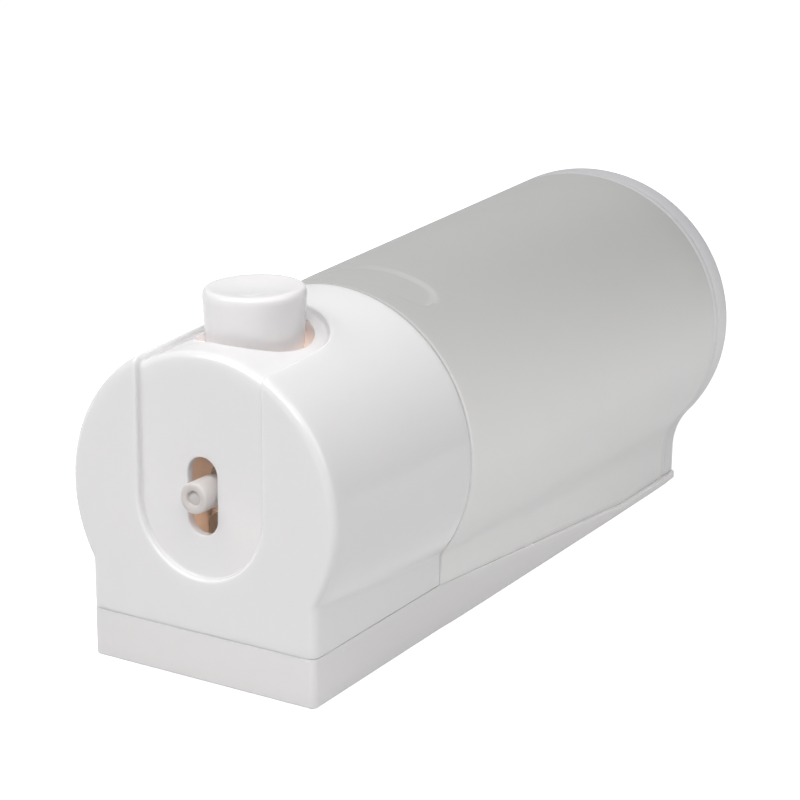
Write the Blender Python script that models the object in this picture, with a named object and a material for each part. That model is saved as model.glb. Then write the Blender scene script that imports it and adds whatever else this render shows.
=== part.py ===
"""Wall-hung push soap dispenser, lying on its wall plate: metres, +Z away from the wall.

Y runs along the body, from the discharge end (-Y) to the filling lid (+Y), and X across it.
The origin is on the wall face, under the middle of the object. Lengths along the body are
written from the discharge face, and the empty "dispenser" puts them in place.
"""

import math

import bmesh
import bpy
import numpy as np
from mathutils import Matrix, Vector

MM = 0.001
UP = (0, 0, 1)
ALONG = (0, 1, 0)

# Fits shared by the whole assembly
GAP = 0.3 * MM
BITE = 0.5 * MM
OVERRUN = 3 * MM
WALL = 2.2 * MM
SHARP_ANGLE = math.radians(30)

# Body: a round barrel on a narrower neck, wider towards the lid
BODY_LENGTH = 200 * MM
FRONT_SWELL = 5.0 * MM
SEAM_SWELL = 3.0 * MM
LID_SWELL = 3.5 * MM
SEAM_RISE = 1.2 * MM
LID_RISE = 6.0 * MM
LID_STRETCH_SHARE = 1.055
NECK_PROUD = 0.2 * MM
NECK_TAPER = 1.2 * MM
NECK_FILLET = 3.0 * MM
LID_FILLET = 22 * MM
ARC_STEPS = 22
FILLET_STEPS = 4

# Wall plate: a tray under the housing, wedge-shaped walls under the bottle
PLATE_WIDTH = 61 * MM
PLATE_HEIGHT = 11.6 * MM
PLATE_FLOOR = 2.2 * MM
WEDGE_TO_END = 37 * MM
TRAY_TO_END = 50 * MM
PLATE_CORNER = 1.2 * MM
SCREW_PAST_SEAM = 11 * MM
SCREW_TO_END = 62 * MM
WALL_SCREW_HOLE = 2.3 * MM
WALL_SCREW_SINK = 4.4 * MM
SINK_DEPTH = 1.4 * MM

# Hook lugs under the chassis and the bottle, and their rails on the plate
LUG_LENGTH = 12 * MM
FRONT_LUG_SETBACK = 25 * MM
BOTTLE_LUG_PAST_SEAM = 29 * MM
LUG_HALF = 9 * MM
LUG_STEM_HALF = 5 * MM
LUG_CLEAR = 0.8 * MM
LUG_THICK = 2.0 * MM
RAIL_WALL = 2.0 * MM
RAIL_LIP = 1.7 * MM

# Pump housing
FACE_ROUND = 1.8 * MM
ROUND_STEPS = 4
RECESS_DEPTH = 1.6 * MM
RECESS_RIM = 3.15 * MM
RECESS_DROP = 0.6 * MM
TUBE_CLEAR = 0.4 * MM
SLOT_ABOVE_SPOUT = 8.6 * MM
BOSS_RADIUS = 4.0 * MM
BOSS_INSET = 5.6 * MM
BOSS_HEIGHT = 9.5 * MM
BOSS_FRONT = 8 * MM
BOSS_TO_SEAM = 9 * MM

# Button and its well
BUTTON_ALONG = 22.5 * MM
BUTTON_PROUD = 10.4 * MM
BUTTON_RADIUS = 11.85 * MM
BUTTON_FLARE = 0.45 * MM
BUTTON_HEIGHT = 17.9 * MM
BUTTON_ROUND = 2.2 * MM
BUTTON_DISH = 1.1 * MM
BUTTON_WALL = 1.8 * MM
BUTTON_CROWN = 2.9 * MM
BUTTON_BOSS_LENGTH = 12 * MM
BUTTON_BOSS_WALL = 1.7 * MM
WELL_CLEAR = 1.8 * MM
WELL_WALL = 1.6 * MM
WELL_ROOM = 4.5 * MM
WELL_FLOOR_THICK = 2.0 * MM
PRESS_TRAVEL = 5.5 * MM

# Return spring
SPRING_FIT = 1.8 * MM
SPRING_WIRE = 0.6 * MM
SPRING_TURNS = 7
SPRING_CLEAR = 0.5 * MM
TURN_POINTS = 10

# Chassis and its screws
CHASSIS_THICK = 2.0 * MM
CHASSIS_CORNER = 3.0 * MM
CORNER_STEPS = 3
SHANK_RADIUS = 1.45 * MM
SHANK_LENGTH = 8 * MM
HEAD_RADIUS = 2.6 * MM
HEAD_HEIGHT = 1.7 * MM
DRIVE_RADIUS = 1.1 * MM
DRIVE_DEPTH = 0.9 * MM

# Pump body
CYLINDER_BORE = 7.0 * MM
CYLINDER_WALL = 2.0 * MM
CYLINDER_SPARE = 1.5 * MM
PIPE_RADIUS = 3.4 * MM
PIPE_BORE = 2.2 * MM
PIPE_LIFT = 3.5 * MM
RISER_GAP = 5.9 * MM
PIPE_BEND = 4.2 * MM
PIPE_RUN = 1.0 * MM
BEND_STEPS = 4
FLANGE_LENGTH = 4.2 * MM
CUP_DEPTH = 3.0 * MM
CUP_WALL = 2.5 * MM
EAR_ACROSS = 15.5 * MM
EAR_RADIUS = 3.6 * MM
EAR_HEIGHT = 6 * MM

# Cylinder cap
CAP_SKIRT = 1.7 * MM
CAP_PLATE = 2.0 * MM
CAP_SKIRT_DEPTH = 4.2 * MM

# Stem and spout arm
STEM_RADIUS = 2.8 * MM
STEM_BORE = 1.4 * MM
HUB_RADIUS = 5.5 * MM
HUB_HALF = 4.6 * MM
HUB_CLEAR = 1.7 * MM
SPOUT_RISE = 2.0 * MM
ROD_RADIUS = 4.2 * MM
STOP_RIM = 2.2 * MM
STOP_THICK = 1.5 * MM
ARM_RADIUS = 2.6 * MM
ARM_BORE = 1.2 * MM
ARM_REACH = 11.5 * MM

# Piston and seal
PISTON_CLEAR = 0.5 * MM
STROKE_CLEAR = 1.0 * MM
LAND_HEIGHT = 1.4 * MM
GROOVE_HEIGHT = 2.4 * MM
GROOVE_DEPTH = 1.4 * MM
SOCKET_DEPTH = 3.4 * MM

# Nozzle tube, its clip and the two valves
TUBE_RADIUS = 3.6 * MM
TUBE_BORE = 1.75 * MM
TUBE_REACH = 1.9 * MM
TUBE_WALL = 1.5 * MM
SOCKET_LEAD = 1.6 * MM
SOCKET_FLARE = 1.5 * MM
TUBE_ROUND = 0.4 * MM
CLIP_WALL = 0.8 * MM
CLIP_LENGTH = 3.0 * MM
CLIP_MARGIN = 1.5 * MM
CLIP_EAR = 1.6 * MM
CLIP_SPLIT = 0.8 * MM
VALVE_DISC = 1.2 * MM
VALVE_NOSE = 3.0 * MM
VALVE_TIP = 0.5 * MM

# Bottle neck, gasket and collar nut
NECK_BORE = 10.3 * MM
NECK_WALL = 2.0 * MM
NECK_REACH = 6.6 * MM
GASKET_THICK = 1.0 * MM
NUT_WALL = 2.2 * MM
NUT_LIP = 1.4 * MM
NUT_LIP_GAP = 1.6 * MM
NUT_GRIPS = 12
NUT_GRIP_DEPTH = 0.7 * MM
NUT_GRIP_RADIUS = 1.6 * MM
GROOVE_STEPS = 10

# Bottle
BOTTLE_WALL = 2.0 * MM
BOTTLE_ROUND = 0.8 * MM
GRIP_PAST_SEAM = 13.5 * MM
GRIP_HALF = 6.0 * MM
GRIP_ANGLE = math.radians(31)
GRIP_DEPTH = 1.0 * MM
GRIP_STATIONS = 9

# Lid and its gasket
LID_LENGTH = 6.6 * MM
LID_GASKET_THICK = 2.0 * MM
LID_ROUND = 1.2 * MM
LID_WALL = 2.0 * MM
PLUG_LENGTH = 9.4 * MM
PLUG_WALL = 1.6 * MM
VENT_RADIUS = 1.0 * MM
VENT_RISE = 23 * MM

# Rounding of turned pieces
TURN_STEPS = 32
SMALL_TURN_STEPS = 14

# Pieces with so many cuts that the Exact solver leaves them open
LONG_CHAINS = ("pump_housing", "housing cavity", "pump_body", "pump_stem", "collar_nut")

# Heights, stacked up from the wall: plate, chassis, pump, button
LUG_FLOOR = PLATE_FLOOR + LUG_CLEAR
HOUSING_FOOT = PLATE_HEIGHT + GAP
CHASSIS_FOOT = HOUSING_FOOT + GAP
CHASSIS_TOP = CHASSIS_FOOT + CHASSIS_THICK
PUMP_FOOT = CHASSIS_TOP + GAP
BOSS_TOP = PUMP_FOOT + BOSS_HEIGHT
CYLINDER_FLOOR = PUMP_FOOT + CYLINDER_WALL
PIPE_LOW = CYLINDER_FLOOR + PIPE_LIFT
PISTON_FOOT = CYLINDER_FLOOR + STROKE_CLEAR + PRESS_TRAVEL
PISTON_TOP = PISTON_FOOT + LAND_HEIGHT + GROOVE_HEIGHT + LAND_HEIGHT
CYLINDER_TOP = PISTON_TOP + CYLINDER_SPARE
CAP_FOOT = CYLINDER_TOP - CAP_SKIRT_DEPTH
CAP_TOP = CYLINDER_TOP + GAP + CAP_PLATE
SPOUT_AXIS = CAP_TOP + HUB_CLEAR + PRESS_TRAVEL + HUB_HALF
FRONT_CENTRE = SPOUT_AXIS - SPOUT_RISE
SEAM_CENTRE = FRONT_CENTRE + SEAM_RISE
LID_CENTRE = SEAM_CENTRE + LID_RISE

# Sizes across
NECK_HALF = PLATE_WIDTH / 2 + NECK_PROUD
LID_NECK_HALF = NECK_HALF - NECK_TAPER
FRONT_RADIUS = NECK_HALF + FRONT_SWELL
SEAM_RADIUS = FRONT_RADIUS + SEAM_SWELL
LID_RADIUS = SEAM_RADIUS + LID_SWELL
BOSS_ACROSS = NECK_HALF - BOSS_INSET
CYLINDER_RADIUS = CYLINDER_BORE + CYLINDER_WALL
PISTON_RADIUS = CYLINDER_BORE - PISTON_CLEAR
STOP_RADIUS = ROD_RADIUS + STOP_RIM
NECK_RADIUS = NECK_BORE + NECK_WALL
FLANGE_RADIUS = NECK_RADIUS - GAP
CUP_RADIUS = FLANGE_RADIUS - CUP_WALL
NUT_RADIUS = NECK_RADIUS + GAP + NUT_WALL
NUT_LIP_BORE = PIPE_RADIUS + NUT_LIP_GAP
NECK_AXIS = PUMP_FOOT + NUT_RADIUS

# The button stands on the barrel's top, over its well
BUTTON_TOP = FRONT_CENTRE + FRONT_RADIUS + BUTTON_PROUD
BUTTON_FOOT = BUTTON_TOP - BUTTON_HEIGHT
BUTTON_CEILING = BUTTON_TOP - BUTTON_CROWN
BUTTON_BOSS_FOOT = BUTTON_CEILING - BUTTON_BOSS_LENGTH
BUTTON_FOOT_RADIUS = BUTTON_RADIUS - BUTTON_FLARE
BUTTON_SOCKET = ROD_RADIUS + GAP
BUTTON_BOSS_RADIUS = BUTTON_SOCKET + BUTTON_BOSS_WALL
SPRING_RADIUS = BUTTON_BOSS_RADIUS + SPRING_FIT
WELL_RADIUS = BUTTON_RADIUS + WELL_CLEAR
WELL_FLOOR = BUTTON_FOOT - PRESS_TRAVEL - WELL_ROOM

# The slot and the recess on the face
SLOT_HALF = TUBE_RADIUS + TUBE_CLEAR
SLOT_LOW = SPOUT_AXIS - PRESS_TRAVEL - SLOT_HALF
SLOT_HIGH = SPOUT_AXIS + SLOT_ABOVE_SPOUT
RECESS_HALF = WELL_RADIUS + RECESS_RIM
RECESS_CENTRE = FRONT_CENTRE - RECESS_DROP

# Places along the body: the spout arm before the stem, the inlet pipe and the seam after it
ARM_END = BUTTON_ALONG - ARM_REACH
VALVE_SEAT = ARM_END - GAP - VALVE_DISC
SOCKET_RADIUS = ARM_RADIUS + GAP + TUBE_WALL
SOCKET_START = ARM_END - SOCKET_LEAD
SOCKET_END = BUTTON_ALONG - HUB_RADIUS - GAP
CLIP_START = SOCKET_END - CLIP_MARGIN - CLIP_LENGTH
RISER_ALONG = BUTTON_ALONG + CYLINDER_RADIUS + RISER_GAP
FLANGE_START = RISER_ALONG + PIPE_BEND + PIPE_RUN
FLANGE_END = FLANGE_START + FLANGE_LENGTH
NECK_START = FLANGE_END + GAP + GASKET_THICK + GAP
HOUSING_LENGTH = NECK_START + NECK_REACH
BOSS_PLACES = (BOSS_FRONT, HOUSING_LENGTH - BOSS_TO_SEAM)
FRONT_LUG = HOUSING_LENGTH - FRONT_LUG_SETBACK
BOTTLE_LUG = HOUSING_LENGTH + BOTTLE_LUG_PAST_SEAM
GRIP_ALONG = HOUSING_LENGTH + GRIP_PAST_SEAM
SCREW_PLACES = (HOUSING_LENGTH + SCREW_PAST_SEAM, BODY_LENGTH - SCREW_TO_END)
WEDGE_END = BODY_LENGTH - WEDGE_TO_END
TRAY_END = BODY_LENGTH - TRAY_TO_END
LID_START = BODY_LENGTH - LID_LENGTH
MOUTH_RIM = LID_START - GAP - LID_GASKET_THICK - GAP
MIDWAY = (HOUSING_LENGTH + BODY_LENGTH) / 2
VENT_HEIGHT = LID_CENTRE + VENT_RISE
MIDDLE = (BODY_LENGTH - TUBE_REACH) / 2


def clear_scene():
    for thing in list(bpy.data.objects):
        bpy.data.objects.remove(thing, do_unlink=True)


def finish(name, colour, roughness, metallic=0.0, alpha=1.0, transmission=0.0):
    """A Principled material with the colour as seen, roughness and metallic value."""
    made = bpy.data.materials.new(name)
    made.use_nodes = True
    shader = made.node_tree.nodes["Principled BSDF"]
    shader.inputs["Base Color"].default_value = (*colour, 1.0)
    shader.inputs["Roughness"].default_value = roughness
    shader.inputs["Metallic"].default_value = metallic
    shader.inputs["Alpha"].default_value = alpha
    shader.inputs["Transmission Weight"].default_value = transmission
    made.diffuse_color = (*colour, 1.0)
    return made


def place_object(name, mesh, material, parent, location=None):
    """Links a mesh as an object; location is its origin under the parent."""
    thing = bpy.data.objects.new(name, mesh)
    bpy.context.scene.collection.objects.link(thing)
    if material is not None:
        thing.data.materials.append(material)
    if location is not None:
        thing.location = location
    hang(thing, parent)
    return thing


def hang(thing, parent):
    """Parents a piece to an empty, with its place still written in the body's own lengths."""
    thing.parent = parent
    if parent.parent is not None:
        thing.matrix_parent_inverse = Matrix.Translation(-parent.location)


def mesh_of(name, points, faces):
    """A closed mesh with its faces turned outwards, shaded smooth between sharp edges."""
    mesh = bpy.data.meshes.new(name)
    mesh.from_pydata([tuple(point) for point in points], [], faces)
    mesh.update()
    work = bmesh.new()
    work.from_mesh(mesh)
    bmesh.ops.recalc_face_normals(work, faces=work.faces)
    work.to_mesh(mesh)
    work.free()
    mesh.shade_smooth()
    mesh.set_sharp_from_angle(angle=SHARP_ANGLE)
    return mesh


def empty(name, location, parent=None):
    made = bpy.data.objects.new(name, None)
    bpy.context.scene.collection.objects.link(made)
    made.location = location
    made.parent = parent
    return made


def as_cutter(thing):
    thing.hide_render = True
    thing.display_type = "WIRE"
    return thing


def combine(thing, other, operation):
    """A live Boolean of the other object, which is hidden as a cutter.

    A long chain of cuts stays closed only with the Manifold solver.
    """
    as_cutter(other)
    step = thing.modifiers.new(f"{operation.lower()} {other.name}", "BOOLEAN")
    step.operation = operation
    step.object = other
    step.solver = "MANIFOLD" if thing.name in LONG_CHAINS else "EXACT"
    return thing


def cut(thing, other):
    return combine(thing, other, "DIFFERENCE")


def join(thing, other):
    return combine(thing, other, "UNION")


def loft(name, rings, material=None, parent=None):
    """A closed solid through rings of equal count, with a flat cap at each end."""
    count = len(rings[0])
    points = [point for ring in rings for point in ring]
    faces = [tuple(range(count)), tuple(range(len(points) - count, len(points)))]
    for row in range(len(rings) - 1):
        low = row * count
        for k in range(count):
            after = (k + 1) % count
            faces.append((low + k, low + after, low + count + after, low + count + k))
    return place_object(name, mesh_of(name, points, faces), material, parent)


def turned(name, profile, centre, axis, material=None, parent=None, steps=TURN_STEPS):
    """A solid turned about an axis through the centre.

    The profile is a closed outline of (radius, reach along the axis); points at radius zero
    lie on the axis and are made once.
    """
    along = Vector(axis).normalized()
    side = Vector((1, 0, 0)) if abs(along.x) < abs(along.z) + abs(along.y) else Vector((0, 1, 0))
    other = along.cross(side)
    points = []
    rows = []
    for radius, reach in profile:
        base = along * reach
        if radius == 0:
            rows.append([len(points)] * steps)
            points.append(base)
            continue
        rows.append(list(range(len(points), len(points) + steps)))
        for k in range(steps):
            turn = math.tau * k / steps
            points.append(base + side * radius * math.cos(turn) + other * radius * math.sin(turn))
    faces = []
    for row, after in zip(rows, rows[1:] + rows[:1]):
        for k in range(steps):
            n = (k + 1) % steps
            corners = list(dict.fromkeys((row[k], row[n], after[n], after[k])))
            if len(corners) > 2:
                faces.append(tuple(corners))
    return place_object(name, mesh_of(name, points, faces), material, parent, centre)


def rod(name, radius, start, end, centre, axis, parent=None, steps=TURN_STEPS):
    """A plain cylinder from start to end along the axis."""
    profile = [(0, start), (radius, start), (radius, end), (0, end)]
    return turned(name, profile, centre, axis, None, parent, steps)


def pin(name, radius, low, high, place, parent):
    """A small upright cylinder at a place in X and Y, for bosses, ears and screw holes."""
    return rod(name, radius, low, high, (*place, 0), UP, parent, SMALL_TURN_STEPS)


def block(name, low, high, material=None, parent=None):
    """A box between two corners, with its origin at the parent's."""
    rings = [
        [(low[0], y, low[2]), (high[0], y, low[2]), (high[0], y, high[2]), (low[0], y, high[2])]
        for y in (low[1], high[1])
    ]
    return loft(name, rings, material, parent)


def rounded_rectangle(half_width, start, end, corner):
    """Outline in X and Y with four rounded corners, counter-clockwise."""
    centres = (
        (half_width - corner, end - corner, 0),
        (corner - half_width, end - corner, 1),
        (corner - half_width, start + corner, 2),
        (half_width - corner, start + corner, 3),
    )
    outline = []
    for x, y, quarter in centres:
        for k in range(CORNER_STEPS + 1):
            turn = math.pi / 2 * (quarter + k / CORNER_STEPS)
            outline.append((x + corner * math.cos(turn), y + corner * math.sin(turn)))
    return outline


def upright(name, outline, low, high, material=None, parent=None):
    """A prism standing on an outline in X and Y."""
    rings = [[(x, y, z) for x, y in outline] for z in (low, high)]
    return loft(name, rings, material, parent)


def along_body(y, front, seam, lid):
    """A body size at y, which changes evenly from the face to the seam, then to the lid."""
    return float(np.interp(y, (0, HOUSING_LENGTH, BODY_LENGTH), (front, seam, lid)))


def barrel_radius(y):
    return along_body(y, FRONT_RADIUS, SEAM_RADIUS, LID_RADIUS)


def barrel_centre(y):
    return along_body(y, FRONT_CENTRE, SEAM_CENTRE, LID_CENTRE)


def plate_top(y):
    """Height of the plate's side walls: level under the housing, then a falling wedge."""
    return float(np.interp(y, (HOUSING_LENGTH, WEDGE_END), (PLATE_HEIGHT, PLATE_FLOOR)))


def bottle_foot(y):
    return plate_top(y) + GAP


def grip_hollow(y, turn):
    """Depth of the oval thumb grip at y and at an angle from the top of the barrel."""
    rest = 1 - (turn / GRIP_ANGLE) ** 2 - ((y - GRIP_ALONG) / GRIP_HALF) ** 2
    return GRIP_DEPTH * math.sqrt(max(rest, 0))


def keyhole(y, foot, inset=0.0, grip=False):
    """The body's outline at y, drawn in by the inset, as points round from the top.

    A circle meets each neck wall in a hollow fillet, whose centre lies one fillet radius
    outside both. The fillet is tight at the seam and wide at the lid, where the neck is a
    little narrower. All of it is then stretched across, which makes the barrel oval there.
    """
    radius = barrel_radius(y) - inset
    centre = barrel_centre(y)
    stretch = along_body(y, 1, 1, LID_STRETCH_SHARE)
    half = (along_body(y, NECK_HALF, NECK_HALF, LID_NECK_HALF) - inset) / stretch
    fillet = along_body(y, NECK_FILLET, NECK_FILLET, LID_FILLET) + inset
    drop = math.sqrt((radius + fillet) ** 2 - (half + fillet) ** 2)
    meet = math.atan2(half + fillet, -drop)
    right = []
    for k in range(ARC_STEPS + 1):
        turn = meet * k / ARC_STEPS
        reach = radius - (grip_hollow(y, turn) if grip else 0)
        right.append((reach * math.sin(turn), centre + reach * math.cos(turn)))
    for k in range(1, FILLET_STEPS + 1):
        turn = (math.pi - meet) + (meet - math.pi / 2) * k / FILLET_STEPS
        x = half + fillet - fillet * math.sin(turn)
        z = centre - drop + fillet * math.cos(turn)
        right.append((x, z))
    right.append((half, foot))
    left = [(-x, z) for x, z in reversed(right[1:])]
    return [(x * stretch, y, z) for x, z in right + left]


def rounded_stations(start, rounding):
    """(y, inset) of the rings that round a shell's front edge over a quarter circle."""
    stations = []
    for k in range(ROUND_STEPS + 1):
        turn = math.pi / 2 * k / ROUND_STEPS
        stations.append((start + rounding * (1 - math.cos(turn)), rounding * (1 - math.sin(turn))))
    return stations


def make_wall_plate(material, parent):
    """Tray with wedge walls, two pairs of rails and two countersunk screw holes."""
    half = PLATE_WIDTH / 2
    end = BODY_LENGTH
    rings = []
    for y in (0, PLATE_CORNER, HOUSING_LENGTH, WEDGE_END, end - PLATE_CORNER, end):
        reach = half - (PLATE_CORNER / 2 if y in (0, end) else 0)
        top = plate_top(y)
        rings.append([(-reach, y, 0), (reach, y, 0), (reach, y, top), (-reach, y, top)])
    plate = loft("wall_plate", rings, material, parent)
    inside = half - WALL
    low = (-inside, WALL, PLATE_FLOOR)
    cut(plate, block("tray", low, (inside, TRAY_END, PLATE_HEIGHT + OVERRUN), None, parent))
    join(plate, make_rails("front", FRONT_LUG, parent))
    join(plate, make_rails("rear", BOTTLE_LUG, parent))
    for number, y in enumerate(SCREW_PLACES, 1):
        profile = [
            (0, -OVERRUN),
            (WALL_SCREW_HOLE, -OVERRUN),
            (WALL_SCREW_HOLE, PLATE_FLOOR - SINK_DEPTH),
            (WALL_SCREW_SINK, PLATE_FLOOR + BITE),
            (WALL_SCREW_SINK, PLATE_FLOOR + OVERRUN),
            (0, PLATE_FLOOR + OVERRUN),
        ]
        name = f"wall screw hole {number}"
        cut(plate, turned(name, profile, (0, y, 0), UP, None, parent, SMALL_TURN_STEPS))
    return plate


def make_rails(label, start, parent):
    """A pair of lipped rails with a stop at their lower end, open where the lug slides in."""
    end = start + LUG_LENGTH
    lip_low = LUG_FLOOR + LUG_THICK + GAP
    lip_top = lip_low + RAIL_LIP
    channel = LUG_HALF + GAP
    mouth = LUG_STEM_HALF + GAP
    outer = channel + RAIL_WALL
    stop = start - GAP - RAIL_WALL
    rails = block(f"{label} rails", (-outer, stop, PLATE_FLOOR - BITE), (outer, end, lip_top), None, parent)
    low = (-channel, start - GAP, PLATE_FLOOR - OVERRUN)
    cut(rails, block(f"{label} rail channel", low, (channel, end + OVERRUN, lip_low), None, parent))
    low = (-mouth, start - GAP, lip_low - BITE)
    cut(rails, block(f"{label} rail mouth", low, (mouth, end + OVERRUN, lip_top + OVERRUN), None, parent))
    return rails


def add_hook_lug(carrier, label, start, top, parent):
    """T-shaped lug that slides into a pair of rails, hanging from a carrier at height top."""
    end = start + LUG_LENGTH
    flange_top = LUG_FLOOR + LUG_THICK
    low = (-LUG_STEM_HALF, start, LUG_FLOOR)
    join(carrier, block(f"{label} lug stem", low, (LUG_STEM_HALF, end, top), None, parent))
    low = (-LUG_HALF, start, LUG_FLOOR)
    join(carrier, block(f"{label} lug flange", low, (LUG_HALF, end, flange_top), None, parent))


def screw_places():
    return [(x, y) for y in BOSS_PLACES for x in (-BOSS_ACROSS, BOSS_ACROSS)]


def ear_places():
    return [(-EAR_ACROSS, BUTTON_ALONG), (EAR_ACROSS, BUTTON_ALONG)]


def half_circle(radius, middle, first, steps):
    """Points over half a turn about a middle in the plane, from an angle of the first one."""
    points = []
    for k in range(steps + 1):
        turn = first + math.pi * k / steps
        points.append((radius * math.cos(turn), middle + radius * math.sin(turn)))
    return points


def make_recess(name, half, depth, parent):
    """The U-shaped band: down the face, over the edge and round the button.

    Its floor follows the body's own outline, one depth below the surface.
    """
    reach = BUTTON_TOP + OVERRUN
    face = half_circle(half, RECESS_CENTRE, math.pi, TURN_STEPS // 2)
    face += [(half, reach), (-half, reach)]
    rings = [[(x, y, z) for x, z in face] for y in (-OVERRUN, depth + OVERRUN)]
    recess = loft(name, rings, None, parent)
    top = half_circle(half, BUTTON_ALONG, 0, TURN_STEPS // 2)
    top += [(-half, -OVERRUN), (half, -OVERRUN)]
    join(recess, upright(f"{name} round the button", top, barrel_centre(0), reach, None, parent))
    deep = HOUSING_FOOT - OVERRUN
    stations = rounded_stations(depth, FACE_ROUND)
    rings = [keyhole(y, deep, depth + inset) for y, inset in stations]
    rings.append(keyhole(HOUSING_LENGTH + OVERRUN, deep, depth))
    return cut(recess, loft(f"{name} floor", rings, None, parent))


def make_slot(parent):
    """Cutter of the stadium slot, tall enough for the tube to follow the button down."""
    outline = half_circle(SLOT_HALF, SLOT_HIGH - SLOT_HALF, 0, SMALL_TURN_STEPS // 2)
    outline += half_circle(SLOT_HALF, SLOT_LOW + SLOT_HALF, math.pi, SMALL_TURN_STEPS // 2)
    inner_face = RECESS_DEPTH + WALL
    rings = [[(x, y, z) for x, z in outline] for y in (-OVERRUN, inner_face + OVERRUN)]
    return loft("slot", rings, None, parent)


def make_housing(material, parent):
    """Cover of the pump: drafted shell with recess, slot, button well and screw bosses."""
    rings = [keyhole(y, HOUSING_FOOT, inset) for y, inset in rounded_stations(0, FACE_ROUND)]
    rings.append(keyhole(HOUSING_LENGTH - GAP / 2, HOUSING_FOOT))
    housing = loft("pump_housing", rings, material, parent)

    deep = HOUSING_FOOT - OVERRUN
    rings = [keyhole(y, deep, WALL + inset) for y, inset in rounded_stations(WALL, FACE_ROUND / 2)]
    rings.append(keyhole(HOUSING_LENGTH + OVERRUN, deep, WALL))
    cavity = loft("housing cavity", rings, None, parent)
    centre = (0, BUTTON_ALONG, 0)
    well_foot = WELL_FLOOR - WELL_FLOOR_THICK
    well_top = BUTTON_TOP + OVERRUN
    cut(cavity, make_recess("recess backing", RECESS_HALF + WALL, RECESS_DEPTH + WALL, parent))
    cut(cavity, rod("well outside", WELL_RADIUS + WELL_WALL, well_foot, well_top, centre, UP, parent))
    for number, place in enumerate(screw_places(), 1):
        cut(cavity, pin(f"boss {number}", BOSS_RADIUS, PUMP_FOOT, BOSS_TOP, place, parent))
    cut(housing, cavity)

    cut(housing, make_recess("recess", RECESS_HALF, RECESS_DEPTH, parent))
    cut(housing, rod("well inside", WELL_RADIUS, WELL_FLOOR, well_top, centre, UP, parent))
    guide = ROD_RADIUS + GAP
    low = well_foot - OVERRUN
    cut(housing, rod("stem guide", guide, low, WELL_FLOOR + OVERRUN, centre, UP, parent))
    cut(housing, make_slot(parent))
    for number, place in enumerate(screw_places(), 1):
        name = f"boss hole {number}"
        low = PUMP_FOOT - OVERRUN
        cut(housing, pin(name, SHANK_RADIUS + GAP, low, CHASSIS_FOOT + SHANK_LENGTH, place, parent))
    return housing


def make_chassis(material, parent):
    """Inner plate that closes the housing, with screw holes and the front hook lug."""
    half = NECK_HALF - WALL - GAP
    outline = rounded_rectangle(half, WALL + GAP, HOUSING_LENGTH - GAP, CHASSIS_CORNER)
    chassis = upright("chassis", outline, CHASSIS_FOOT, CHASSIS_TOP, material, parent)
    low = CHASSIS_FOOT - OVERRUN
    high = CHASSIS_TOP + OVERRUN
    for number, place in enumerate(screw_places() + ear_places(), 1):
        cut(chassis, pin(f"chassis hole {number}", SHANK_RADIUS + GAP, low, high, place, parent))
    add_hook_lug(chassis, "front", FRONT_LUG, CHASSIS_FOOT + BITE, parent)
    return chassis


def make_screw(name, place, material, parent):
    """Pan-head screw driven up from under the chassis, with a round drive socket."""
    top = CHASSIS_FOOT - GAP
    low = top - HEAD_HEIGHT
    edge = HEAD_HEIGHT / 3
    end = top + SHANK_LENGTH - GAP
    profile = [
        (0, low + DRIVE_DEPTH),
        (DRIVE_RADIUS, low + DRIVE_DEPTH),
        (DRIVE_RADIUS, low),
        (HEAD_RADIUS - edge, low),
        (HEAD_RADIUS, low + edge),
        (HEAD_RADIUS, top),
        (SHANK_RADIUS, top),
        (SHANK_RADIUS, end - SHANK_RADIUS),
        (0, end),
    ]
    return turned(name, profile, (*place, 0), UP, material, parent, SMALL_TURN_STEPS)


def pipe_path():
    """Centre line of the inlet pipe in Y and Z: along, up, and along, with rounded corners."""
    path = [(BUTTON_ALONG + CYLINDER_BORE - BITE, PIPE_LOW)]
    for k in range(BEND_STEPS + 1):
        turn = math.pi / 2 * k / BEND_STEPS
        y = RISER_ALONG - PIPE_BEND + PIPE_BEND * math.sin(turn)
        path.append((y, PIPE_LOW + PIPE_BEND * (1 - math.cos(turn))))
    for k in range(BEND_STEPS + 1):
        turn = math.pi / 2 * k / BEND_STEPS
        y = RISER_ALONG + PIPE_BEND * (1 - math.cos(turn))
        path.append((y, NECK_AXIS - PIPE_BEND * (1 - math.sin(turn))))
    path.append((FLANGE_START + BITE, NECK_AXIS))
    return path


def swept(name, path, radius, parent, steps=SMALL_TURN_STEPS):
    """A round solid carried along a path in Y and Z, its rings square to the path."""
    rings = []
    last = len(path) - 1
    for k, (y, z) in enumerate(path):
        before = path[max(k - 1, 0)]
        after = path[min(k + 1, last)]
        along = Vector((0, after[0] - before[0], after[1] - before[1])).normalized()
        side = Vector((1, 0, 0))
        other = along.cross(side)
        ring = []
        for n in range(steps):
            turn = math.tau * n / steps
            spoke = side * math.cos(turn) + other * math.sin(turn)
            ring.append(Vector((0, y, z)) + radius * spoke)
        rings.append(ring)
    return loft(name, rings, None, parent)


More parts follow.
